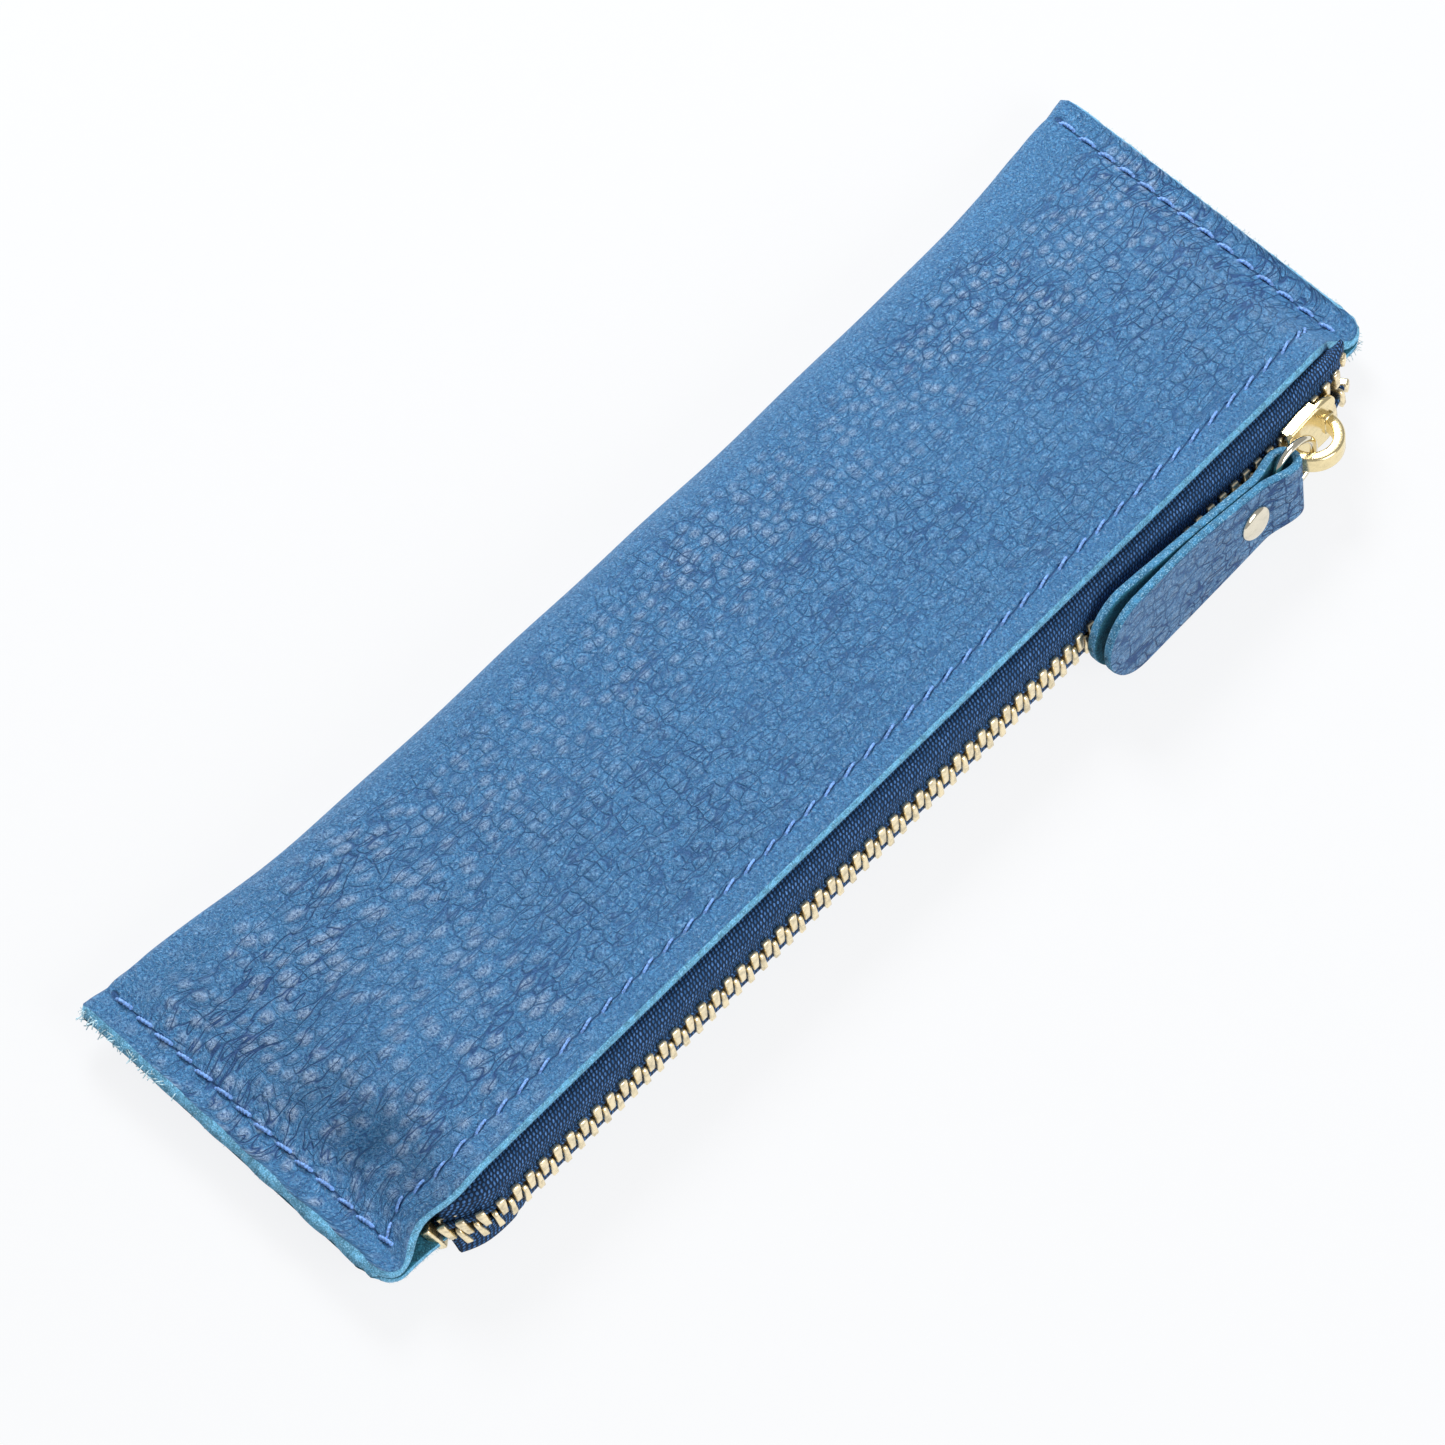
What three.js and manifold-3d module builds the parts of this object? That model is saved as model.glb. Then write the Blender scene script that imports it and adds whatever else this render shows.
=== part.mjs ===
// Slim leather pencil case: one hide sheet folded along a long side, sewn flat at both ends,
// with a metal zip along the open long side and a leather pull tab on a ring.
// Millimetres. +X runs toward the closed end of the zip, +Y to the fold, +Z up from the table.
import * as THREE from 'three';
import { mergeVertices } from 'three/addons/utils/BufferGeometryUtils.js';
import Module from 'manifold-3d';

// Case
const LENGTH = 205;
const WIDTH = 60;
const LEATHER = 1.45;
const FILLED_TOP = 17;
const END_TOP = 7;
const END_LAYER_GAP = 0.3;
const FOLD_PULL_IN = 1.35;
const PANEL_BULGE = 1.9;
const CORNER_RADIUS = 3;
const UPPER_EDGE_Z = 16.2;
const LOWER_EDGE_Z = 1.2;
const UPPER_EDGE_SETBACK = 0.2;
const LEFT_EDGE_WAVE = 2.3;
const RIGHT_EDGE_WAVE = 1.5;
const BELLY_START_Y = -19;
const LIP_BEND_Y = -25;

// Zip chain
const CHAIN_Y = -33.7;
const CHAIN_Z = 8.7;
const CHAIN_LEAN = THREE.MathUtils.degToRad(10);
const TOOTH_PITCH = 2.58;
const TOOTH_LENGTH = 1;
const TOOTH_HALF_DEPTH = 1.15;
const TOOTH_HEAD = 0.95;
const TOOTH_LEG = 3;
const CORD_AT = 1.85;
const CORD_SIZE = 0.8;
const ROW_START = -88;
const ROW_END = 91.5;
const STOP_LENGTH = 2;
const STOP_GAP = 0.4;
const TAPE_THICKNESS = 0.5;
const TAPE_GAP = 0.3;
const TAPE_BEND = 5.1;
const MOUTH_Y = -29.6;
const SEAM_Y = -25;
const LEFT_TURN = -84;
const RIGHT_TURN = 88;

// Slider
const SLIDER_X = 82.6;
const TAIL = -5.4;
const NOSE = 5.1;
const FLANGE_END = 1.2;
const TAIL_HALF_WIDTH = 4.1;
const WIDEST_HALF_WIDTH = 4.75;
const NOSE_HALF_WIDTH = 2.6;
const PLATE_CORNER = 1;
const CHANNEL_HALF_DEPTH = 1.45;
const PLATE = 1.1;
const FLANGE_HALF_SLOT = 0.5;
const POST_START = 2.3;
const POST_END = 4.5;
const POST_HALF_WIDTH = 0.8;
const JOIN = 0.1;
const ROW_SPREAD = 2.15;
const CROWN_HALF_LENGTH = 5.1;
const CROWN_HEIGHT = 5;
const CROWN_RIM = 1.75;
const CROWN_WIDTH = 2.8;
const FIT = 0.3;

// Ring, pull tab and rivet
const RING_RADIUS = 4.3;
const WIRE_RADIUS = 0.6;
const RING_FROM_CREASE = 0.4;
const RING_ABOVE_CREASE = 2.1;
const TAB_LEATHER = 1.3;
const TAB_CREASE = new THREE.Vector3(76.6, -38.2, 7.7);
const TAB_LEAN = THREE.MathUtils.degToRad(12);
const TAB_RISE = THREE.MathUtils.degToRad(3);
const TAB_LENGTH = 43.2;
const TAB_CREASE_WIDTH = 10.6;
const TAB_WIDTH = 14.6;
const LOBE_START = 3;
const RIVET_FROM_CREASE = 10.9;
const RIVET_RADIUS = 2.9;
const RIVET_HEIGHT = 1;
const SHANK_RADIUS = 1;

// Seams
const THREAD = 0.4;
const THREAD_LIFT = 0.12;
const SEAM_FROM_END = 4;
const SEAM_FROM_EDGE = 3.8;

const HALF = LENGTH / 2;
const wasm = await Module();
wasm.setup();

const colours = {
  leather: 0x2a67a3,
  tape: 0x1d3f78,
  brass: 0xd9bd7c,
  gold: 0xf0dfa4,
  thread: 0x2560b4,
};

function material(colour, roughness, metalness) {
  return new THREE.MeshStandardMaterial({ color: colour, roughness, metalness });
}

// 0 at a, 1 at b, with level ends; a may be the larger
function ease(a, b, value) {
  const t = Math.min(1, Math.max(0, (value - a) / (b - a)));
  return t * t * (3 - 2 * t);
}

function bump(centre, spread, value) {
  return Math.exp(-(((value - centre) / spread) ** 2));
}

// ---- closed solids ----------------------------------------------------------------------

// Joins rings of equal count along a run. Each ring is a left line and a right line, so that
// a thin bent section closes at its two ends and at its edges.
function bandSolid(stations) {
  const count = stations[0].left.length;
  const positions = [];
  stations.forEach(({ left, right }) => {
    [...left, ...[...right].reverse()].forEach((p) => positions.push(p.x, p.y, p.z));
  });
  const ring = 2 * count;
  const faces = [];
  const quad = (a, b, c, d) => faces.push(a, b, c, a, c, d);
  for (let s = 0; s + 1 < stations.length; s += 1) {
    for (let i = 0; i < ring; i += 1) {
      const j = (i + 1) % ring;
      quad(s * ring + i, s * ring + j, (s + 1) * ring + j, (s + 1) * ring + i);
    }
  }
  const last = (stations.length - 1) * ring;
  for (let i = 0; i + 1 < count; i += 1) {
    const opposite = ring - 1 - i;
    quad(i, opposite, opposite - 1, i + 1);
    quad(last + i, last + i + 1, last + opposite - 1, last + opposite);
  }
  return facingOut(positions, faces);
}

function facingOut(positions, faces) {
  const at = (i) => new THREE.Vector3().fromArray(positions, 3 * i);
  let volume = 0;
  for (let i = 0; i < faces.length; i += 3) {
    volume += at(faces[i]).dot(at(faces[i + 1]).cross(at(faces[i + 2])));
  }
  const geometry = new THREE.BufferGeometry();
  geometry.setAttribute('position', new THREE.Float32BufferAttribute(positions, 3));
  geometry.setIndex(volume > 0 ? faces : faces.reverse());
  return geometry;
}

function toManifold(geometry) {
  const plain = geometry.clone();
  plain.deleteAttribute('normal');
  plain.deleteAttribute('uv');
  const merged = mergeVertices(plain, 1e-4);
  const mesh = new wasm.Mesh({
    numProp: 3,
    vertProperties: new Float32Array(merged.attributes.position.array),
    triVerts: new Uint32Array(merged.index.array),
  });
  return new wasm.Manifold(mesh);
}

function fromManifold(solid) {
  const { vertProperties, triVerts } = solid.getMesh();
  const geometry = new THREE.BufferGeometry();
  geometry.setAttribute('position', new THREE.BufferAttribute(vertProperties, 3));
  geometry.setIndex(new THREE.BufferAttribute(triVerts, 1));
  return geometry;
}

function joined(geometries) {
  const solids = geometries.map(toManifold);
  return fromManifold(solids.reduce((whole, next) => whole.add(next)));
}

function cut(geometry, tools) {
  const solids = tools.map(toManifold);
  return fromManifold(solids.reduce((whole, next) => whole.subtract(next), toManifold(geometry)));
}

// An outline of [x, y] points, extruded along +Z from z = from
function prism(outline, from, depth) {
  const shape = outline instanceof THREE.Shape
    ? outline
    : new THREE.Shape(outline.map(([x, y]) => new THREE.Vector2(x, y)));
  const geometry = new THREE.ExtrudeGeometry(shape, {
    depth,
    bevelEnabled: false,
    curveSegments: 10,
  });
  return geometry.translate(0, 0, from);
}

// ---- the folded hide ----------------------------------------------------------------------

function fullness(x) {
  return Math.pow(1 - Math.pow(Math.min(1, Math.abs(x) / HALF), 2.6), 1.2);
}

function cornerInset(x) {
  const past = Math.max(0, Math.abs(x) - (HALF - CORNER_RADIUS));
  return CORNER_RADIUS - Math.sqrt(Math.max(0, CORNER_RADIUS ** 2 - past ** 2));
}

// Heights and widths of the leather's middle surface at one station along the case
function caseSection(x) {
  const half = LEATHER / 2;
  const endBottom = END_TOP - 2 * LEATHER - END_LAYER_GAP;
  const top = END_TOP + (FILLED_TOP - END_TOP) * fullness(x) - half;
  const bottom = endBottom * ease(0.62 * HALF, HALF, Math.abs(x)) + half;
  const foldRadius = (top - bottom) / 2;
  const flatRadius = (LEATHER + END_LAYER_GAP) / 2;
  const pulledIn = FOLD_PULL_IN * (Math.PI / 2 - 1) * (foldRadius - flatRadius);
  const mouth = x < 0 ? ease(-99, -84, x) : ease(99, 88, x);
  return {
    top,
    bottom,
    foldRadius,
    foldCentre: WIDTH / 2 - pulledIn - half - foldRadius,
    bulge: PANEL_BULGE * (1 - Math.pow(Math.abs(x) / HALF, 6)),
    upperY: UPPER_EDGE_SETBACK - WIDTH / 2 + cornerInset(x)
      + LEFT_EDGE_WAVE * bump(-94, 4, x) + RIGHT_EDGE_WAVE * bump(95, 4, x),
    upperZ: END_TOP + (UPPER_EDGE_Z - END_TOP) * mouth - half,
    lowerY: cornerInset(x) - WIDTH / 2,
    lowerZ: endBottom + (LOWER_EDGE_Z - endBottom) * mouth + half,
  };
}

// The middle line of the sheet in (y, z): upper edge, top panel, fold, belly, lower edge
function sheetLine(x) {
  const c = caseSection(x);
  const points = [];
  const topPanel = new THREE.CubicBezierCurve(
    new THREE.Vector2(c.upperY, c.upperZ),
    new THREE.Vector2(c.upperY + 17, Math.max(c.upperZ, c.top) + c.bulge),
    new THREE.Vector2(c.foldCentre - 17, c.top + c.bulge * 0.4),
    new THREE.Vector2(c.foldCentre, c.top),
  );
  points.push(...topPanel.getPoints(8));
  const foldSteps = 8;
  for (let i = 1; i <= foldSteps; i += 1) {
    const angle = Math.PI / 2 - (Math.PI * i) / foldSteps;
    const z = (c.top + c.bottom) / 2 + c.foldRadius * Math.sin(angle);
    points.push(new THREE.Vector2(c.foldCentre + c.foldRadius * Math.cos(angle), z));
  }
  points.push(new THREE.Vector2(c.foldCentre * 0.3 + BELLY_START_Y * 0.7, c.bottom));
  const lip = new THREE.QuadraticBezierCurve(
    new THREE.Vector2(BELLY_START_Y, c.bottom),
    new THREE.Vector2(LIP_BEND_Y, c.bottom + 0.2 * (c.lowerZ - c.bottom)),
    new THREE.Vector2(c.lowerY, c.lowerZ),
  );
  points.push(...lip.getPoints(4));
  return points;
}

// Two lines half a thickness either side of a middle line
function bothSides(line, thickness) {
  const normals = line.map((_, i) => {
    const before = line[Math.max(0, i - 1)];
    const after = line[Math.min(line.length - 1, i + 1)];
    const along = after.clone().sub(before).normalize();
    return new THREE.Vector2(-along.y, along.x);
  });
  const offset = (side) => line.map((p, i) => p.clone().addScaledVector(normals[i], side));
  return [offset(thickness / 2), offset(-thickness / 2)];
}

function crossBand(xs, lineAt, thickness) {
  return bandSolid(xs.map((x) => {
    const [left, right] = bothSides(lineAt(x), thickness);
    const place = (p) => new THREE.Vector3(x, p.x, p.y);
    return { left: left.map(place), right: right.map(place) };
  }));
}

// Stations out from the middle of the case, closer together where its shape turns
const STATIONS = [0, 12, 24, 36, 48, 60, 68, 76, 83, 85.5, 88, 90, 92, 95, 98, 100, 101.5, HALF];
const ALL_STATIONS = [...STATIONS.slice(1).reverse().map((x) => -x), ...STATIONS];

function leatherBody() {
  return crossBand(ALL_STATIONS, sheetLine, LEATHER);
}

// ---- the zip chain --------------------------------------------------------------------------

// How far each row of teeth stands off the closed chain's middle
function rowSpread(x) {
  return ROW_SPREAD * ease(SLIDER_X - 1.7, SLIDER_X + 4.3, x);
}

// Middle of the chain with its run, its width (across) and its outside (out)
function chainFrame(x) {
  const leftTurn = Math.max(0, LEFT_TURN - x);
  const rightTurn = Math.max(0, x - RIGHT_TURN);
  const centre = new THREE.Vector3(
    x,
    CHAIN_Y + 0.062 * leftTurn ** 2 + 0.05 * rightTurn ** 2,
    CHAIN_Z - 0.05 * leftTurn ** 2,
  );
  const along = new THREE.Vector3(1, 0.1 * rightTurn - 0.124 * leftTurn, 0.1 * leftTurn);
  along.normalize();
  const across = new THREE.Vector3(0, Math.sin(CHAIN_LEAN), Math.cos(CHAIN_LEAN));
  const out = along.clone().cross(across).normalize();
  across.copy(out).cross(along);
  return { centre, along, across, out };
}

// Puts a shape drawn as (across, out, along) onto the chain, on the row of that side
function onChain(geometry, x, side) {
  const { centre, along, across, out } = chainFrame(x);
  const origin = centre.clone().addScaledVector(across, side * rowSpread(x));
  const turn = new THREE.Matrix4().makeBasis(
    across.clone().multiplyScalar(side),
    out.clone().multiplyScalar(side),
    along,
  );
  return geometry.applyMatrix4(turn.setPosition(origin));
}

// A tooth: a tapered head past the middle of the chain and two legs closed over the cord
function tooth(x, side) {
  const outline = [
    [-TOOTH_HEAD, -0.7],
    [0.5, -TOOTH_HALF_DEPTH],
    [TOOTH_LEG, -TOOTH_HALF_DEPTH],
    [TOOTH_LEG, TOOTH_HALF_DEPTH],
    [0.5, TOOTH_HALF_DEPTH],
    [-TOOTH_HEAD, 0.7],
  ];
  return onChain(prism(outline, -TOOTH_LENGTH / 2, TOOTH_LENGTH), x, side);
}

// The corded edge that one row of teeth is crimped to
function cord(side) {
  const half = CORD_SIZE / 2;
  const stations = [];
  const steps = [-88.5, -86, -84, -60, 0, 60, 81, 83, 85, 87, 89, ROW_END + 0.5];
  steps.forEach((x) => {
    const { centre, across, out } = chainFrame(x);
    const corner = (a, o) => centre.clone()
      .addScaledVector(across, side * (rowSpread(x) + CORD_AT + a * half))
      .addScaledVector(out, o * half);
    stations.push({ left: [corner(-1, 1), corner(1, 1)], right: [corner(-1, -1), corner(1, -1)] });
  });
  return bandSolid(stations);
}

function teethRow(side) {
  const pieces = [cord(side)];
  const first = ROW_START + (side > 0 ? 0 : TOOTH_PITCH / 2);
  for (let x = first; x < ROW_END; x += TOOTH_PITCH) {
    pieces.push(tooth(x, side));
  }
  return joined(pieces);
}

// A stop: one block pressed over the tape's edge past the last tooth
function topStop(side) {
  const outline = [
    [CORD_AT - 1.1, -TOOTH_HALF_DEPTH],
    [TOOTH_LEG, -TOOTH_HALF_DEPTH],
    [TOOTH_LEG, TOOTH_HALF_DEPTH],
    [CORD_AT - 1.1, TOOTH_HALF_DEPTH],
  ];
  const x = ROW_END + 0.5 + STOP_GAP + STOP_LENGTH / 2;
  return onChain(prism(outline, -STOP_LENGTH / 2, STOP_LENGTH), x, side);
}

function bottomStop() {
  const outline = [
    [-TOOTH_LEG, -TOOTH_HALF_DEPTH],
    [TOOTH_LEG, -TOOTH_HALF_DEPTH],
    [TOOTH_LEG, TOOTH_HALF_DEPTH],
    [-TOOTH_LEG, TOOTH_HALF_DEPTH],
  ];
  const x = ROW_START - 0.5 - STOP_GAP - STOP_LENGTH / 2;
  return onChain(prism(outline, -STOP_LENGTH / 2, STOP_LENGTH), x, 1);
}

// Tape in (y, z): straight beside the teeth, then round to its seam inside the panel
function tapeLine(side) {
  const edge = TOOTH_LEG + TAPE_GAP;
  return (x) => {
    const { centre, across } = chainFrame(x);
    const flat = new THREE.Vector2(centre.y, centre.z);
    const up = new THREE.Vector2(across.y, across.z).multiplyScalar(side);
    const start = flat.clone().addScaledVector(up, edge + rowSpread(x));
    const bend = flat.clone().addScaledVector(up, TAPE_BEND + rowSpread(x) * 0.6);
    const reach = LEATHER / 2 + TAPE_THICKNESS / 2 + TAPE_GAP;
    const [mouthZ, seamZ] = [MOUTH_Y, SEAM_Y].map((y) => panelZ(x, y, side) - side * reach);
    const curve = new THREE.CubicBezierCurve(
      bend,
      bend.clone().add(up),
      new THREE.Vector2(MOUTH_Y - 2, mouthZ + 0.4 * side),
      new THREE.Vector2(MOUTH_Y, mouthZ),
    );
    return [start, ...curve.getPoints(5), new THREE.Vector2(SEAM_Y, seamZ)];
  };
}

function zipTape(side) {
  const xs = ALL_STATIONS.filter((x) => x >= ROW_START && x < ROW_END);
  return crossBand(xs, tapeLine(side), TAPE_THICKNESS);
}

// ---- the slider, drawn as (along, across, out) about its own middle -------------------------

function sliderGroup() {
  const group = new THREE.Group();
  group.position.set(SLIDER_X, CHAIN_Y, CHAIN_Z);
  group.rotation.x = Math.PI / 2 - CHAIN_LEAN;
  return group;
}

function sliderPlate(from) {
  const shape = new THREE.Shape();
  const [tail, widest, nose] = [TAIL_HALF_WIDTH, WIDEST_HALF_WIDTH, NOSE_HALF_WIDTH];
  shape.moveTo(TAIL + PLATE_CORNER, -tail);
  shape.lineTo(FLANGE_END, -widest);
  shape.bezierCurveTo(NOSE - 1.5, -widest - 0.15, NOSE, -tail - 0.1, NOSE, -nose);
  shape.quadraticCurveTo(NOSE - 0.9, 0, NOSE, nose);
  shape.bezierCurveTo(NOSE, tail + 0.1, NOSE - 1.5, widest + 0.15, FLANGE_END, widest);
  shape.lineTo(TAIL + PLATE_CORNER, tail);
  shape.quadraticCurveTo(TAIL, tail, TAIL, tail - PLATE_CORNER);
  shape.lineTo(TAIL, PLATE_CORNER - tail);
  shape.quadraticCurveTo(TAIL, -tail, TAIL + PLATE_CORNER, -tail);
  return prism(shape, from, PLATE);
}

function sliderBody() {
  const inner = CHANNEL_HALF_DEPTH;
  const parts = [sliderPlate(inner), sliderPlate(-inner - PLATE)];
  const wall = TOOTH_LEG + FIT;
  const spread = rowSpread(SLIDER_X + FLANGE_END);
  for (const side of [-1, 1]) {
    const flange = [
      [TAIL + PLATE_CORNER, side * wall],
      [-FLANGE_END, side * wall],
      [FLANGE_END, side * (wall + spread)],
      [FLANGE_END, side * WIDEST_HALF_WIDTH],
      [TAIL + PLATE_CORNER, side * TAIL_HALF_WIDTH],
    ];
    const outline = side > 0 ? flange : flange.reverse();
    const depth = inner - FLANGE_HALF_SLOT + JOIN;
    parts.push(prism(outline, FLANGE_HALF_SLOT, depth));
    parts.push(prism(outline, -FLANGE_HALF_SLOT - depth, depth));
  }
  const post = [
    [POST_START, 0],
    [(POST_START + POST_END) / 2, -POST_HALF_WIDTH],
    [POST_END, -POST_HALF_WIDTH],
    [POST_END, POST_HALF_WIDTH],
    [(POST_START + POST_END) / 2, POST_HALF_WIDTH],
  ];
  parts.push(prism(post, -inner - JOIN, 2 * (inner + JOIN)));
  return joined(parts);
}

// The tall D-shaped loop that stands on the outer plate
function sliderCrown() {
  const shape = new THREE.Shape();
  const inside = CROWN_HALF_LENGTH - CROWN_RIM;
  shape.moveTo(CROWN_HALF_LENGTH, 0);
  shape.absellipse(0, 0, CROWN_HALF_LENGTH, CROWN_HEIGHT, 0, Math.PI, false);
  shape.lineTo(-inside, 0);
  shape.absellipse(0, 0, inside, CROWN_HEIGHT - CROWN_RIM, Math.PI, 0, true);
  const arch = prism(shape, -CROWN_WIDTH / 2, CROWN_WIDTH);
  arch.rotateX(Math.PI / 2);
  return arch.translate(0, 0, CHANNEL_HALF_DEPTH + PLATE + FIT);
}

// ---- ring, tab and rivet --------------------------------------------------------------------

function jumpRing() {
  return new THREE.TorusGeometry(RING_RADIUS, WIRE_RADIUS, 8, 20);
}

// Half the distance between the tab's two layers, by the distance from the crease
function tabHalfGap(s) {
  const lobe = 1.25 * ease(9, 2.6, s);
  const tip = 0.75 * ease(20, TAB_LENGTH, s);
  return TAB_LEATHER / 2 + 0.12 + lobe + tip;
}

function tabHalfWidth(s) {
  const straight = THREE.MathUtils.lerp(TAB_CREASE_WIDTH, TAB_WIDTH, ease(0, 27, s)) / 2;
  const past = Math.max(0, s - (TAB_LENGTH - TAB_WIDTH / 2));
  const round = Math.sqrt(Math.max(0.2, (TAB_WIDTH / 2) ** 2 - past ** 2));
  return Math.min(straight, round);
}

// The folded strip, drawn with x away from the crease, y its width and z its outside
function pullTab() {
  const line = [];
  const widths = [];
  const run = [TAB_LENGTH, 42.5, 41.2, 39.2, 36.2, 31, 25, 19, 12, 8, 5, LOBE_START];
  const add = (s, z) => {
    line.push(new THREE.Vector2(s, z));
    widths.push(tabHalfWidth(s));
  };
  run.forEach((s) => add(s, -tabHalfGap(s)));
  const creaseRadius = tabHalfGap(LOBE_START);
  const middle = TAB_LEATHER / 2 + creaseRadius;
  for (let i = 0; i <= 8; i += 1) {
    const angle = -Math.PI / 2 - (Math.PI * i) / 8;
    add(middle + creaseRadius * Math.cos(angle), creaseRadius * Math.sin(angle));
  }
  run.reverse().forEach((s) => add(s, tabHalfGap(s)));
  const [left, right] = bothSides(line, TAB_LEATHER);
  const sides = [-1, 1].map((edge) => ({
    left: left.map((p, i) => new THREE.Vector3(p.x, edge * widths[i], p.y)),
    right: right.map((p, i) => new THREE.Vector3(p.x, edge * widths[i], p.y)),
  }));
  const ringHole = new THREE.BoxGeometry(4, 2.6, 2.4).translate(0.8, -2.2, 0);
  const rivetHole = new THREE.CylinderGeometry(SHANK_RADIUS + FIT, SHANK_RADIUS + FIT, 12, 12);
  rivetHole.rotateX(Math.PI / 2).translate(RIVET_FROM_CREASE, 0, 0);
  return cut(bandSolid(sides), [ringHole, rivetHole]);
}

// Lays the tab's drawing on its edge beside the zip, its tip toward -X
function tabGroup() {
  const group = new THREE.Group();
  const basis = new THREE.Matrix4().makeBasis(
    new THREE.Vector3(-1, 0, 0),
    new THREE.Vector3(0, Math.sin(TAB_LEAN), Math.cos(TAB_LEAN)),
    new THREE.Vector3(0, Math.cos(TAB_LEAN), -Math.sin(TAB_LEAN)),
  );
  group.quaternion.setFromRotationMatrix(basis);
  group.rotateZ(TAB_RISE);
  group.position.copy(TAB_CREASE);
  return group;
}

function cap(bottom, height) {
  return [
    new THREE.Vector2(0, bottom + height),
    new THREE.Vector2(RIVET_RADIUS * 0.6, bottom + height * 0.9),
    new THREE.Vector2(RIVET_RADIUS * 0.92, bottom + height * 0.55),
    new THREE.Vector2(RIVET_RADIUS, bottom),
  ];
}

function turned(profile) {
  return new THREE.LatheGeometry(profile.reverse(), 16).rotateX(Math.PI / 2);
}

function rivetStud() {
  const face = tabHalfGap(RIVET_FROM_CREASE) + TAB_LEATHER / 2 + FIT / 2;
  return turned([
    ...cap(face, RIVET_HEIGHT),
    new THREE.Vector2(SHANK_RADIUS, face),
    new THREE.Vector2(SHANK_RADIUS, FIT - face),
    new THREE.Vector2(0, FIT - face),
  ]);
}

function rivetSocket() {
  const face = tabHalfGap(RIVET_FROM_CREASE) + TAB_LEATHER / 2 + FIT / 2;
  return turned([...cap(face, RIVET_HEIGHT), new THREE.Vector2(0, face)]);
}

// ---- threads ----------------------------------------------------------------------------------

// The leather's middle line at x, met at y on its top (side 1) or its belly (side -1)
function panelZ(x, y, side) {
  const line = sheetLine(x);
  const part = side > 0 ? line.slice(0, 10) : line.slice(15).reverse();
  for (let i = 0; i + 1 < part.length; i += 1) {
    const [a, b] = [part[i], part[i + 1]];
    if (y >= a.x && y <= b.x) {
      return THREE.MathUtils.lerp(a.y, b.y, (y - a.x) / (b.x - a.x));
    }
  }
  return part[0].y;
}

function threadAlong(points) {
  const half = THREAD / 2;
  const last = points.length - 1;
  return bandSolid(points.map((p, i) => {
    const run = points[Math.min(last, i + 1)].clone().sub(points[Math.max(0, i - 1)]);
    const side = new THREE.Vector3(-run.y, run.x, 0).normalize();
    const corner = (a, b) => p.clone().addScaledVector(side, a * half)
      .add(new THREE.Vector3(0, 0, b * half));
    return { left: [corner(-1, 1), corner(1, 1)], right: [corner(-1, -1), corner(1, -1)] };
  }));
}

function zipThread(side, lift) {
  const points = [];
  for (let x = -84; x <= 84; x += 12) {
    const y = caseSection(x)[side > 0 ? 'upperY' : 'lowerY'] + SEAM_FROM_EDGE;
    points.push(new THREE.Vector3(x, y, panelZ(x, y, side) + side * lift));
  }
  return threadAlong(points);
}

function endThread(end, side, lift) {
  const points = [];
  for (let y = -25; y <= 26; y += 5.1) {
    const x = end * (HALF - SEAM_FROM_END);
    points.push(new THREE.Vector3(x, y, panelZ(x, y, side) + side * lift));
  }
  return threadAlong(points);
}

// ---- assembly ---------------------------------------------------------------------------------

const finishes = {
  leather: () => material(colours.leather, 0.5, 0),
  tape: () => material(colours.tape, 0.85, 0),
  brass: () => material(colours.brass, 0.3, 1),
  gold: () => material(colours.gold, 0.15, 1),
  thread: () => material(colours.thread, 0.6, 0),
};

function add(group, name, geometry, finish) {
  const mesh = new THREE.Mesh(geometry, finishes[finish]());
  mesh.name = name;
  group.add(mesh);
  return mesh;
}

const pencilCase = new THREE.Group();
add(pencilCase, 'leather_body', leatherBody(), 'leather');

for (const [place, side] of [['upper', 1], ['lower', -1]]) {
  add(pencilCase, `${place}_zip_tape`, zipTape(side), 'tape');
  add(pencilCase, `${place}_zip_teeth`, teethRow(side), 'brass');
  add(pencilCase, `${place}_top_stop`, topStop(side), 'brass');
  const outside = LEATHER / 2 + THREAD / 2 + THREAD_LIFT;
  add(pencilCase, `${place}_zip_needle_thread`, zipThread(side, outside), 'thread');
  add(pencilCase, `left_end_${place}_thread`, endThread(-1, side, outside), 'thread');
  add(pencilCase, `right_end_${place}_thread`, endThread(1, side, outside), 'thread');
}
add(pencilCase, 'bottom_stop', bottomStop(), 'brass');

const slider = sliderGroup();
add(slider, 'slider_body', sliderBody(), 'gold');
add(slider, 'slider_crown', sliderCrown(), 'gold');
pencilCase.add(slider);

const tab = tabGroup();
add(tab, 'pull_tab', pullTab(), 'leather');
const ring = add(tab, 'jump_ring', jumpRing(), 'gold');
ring.position.set(RING_FROM_CREASE, RING_ABOVE_CREASE, 0);
const socket = add(tab, 'rivet_socket', rivetSocket(), 'gold');
socket.position.x = RIVET_FROM_CREASE;
const stud = add(tab, 'rivet_stud', rivetStud(), 'gold');
stud.position.x = RIVET_FROM_CREASE;
stud.rotation.x = Math.PI;
pencilCase.add(tab);

export default pencilCase;
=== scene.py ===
"""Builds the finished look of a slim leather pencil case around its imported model.

Lengths inside the shape functions are millimetres; meshes and properties are metres.
"""
import math

import bmesh
import bpy
import numpy as np
from mathutils import Matrix, Vector


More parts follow.
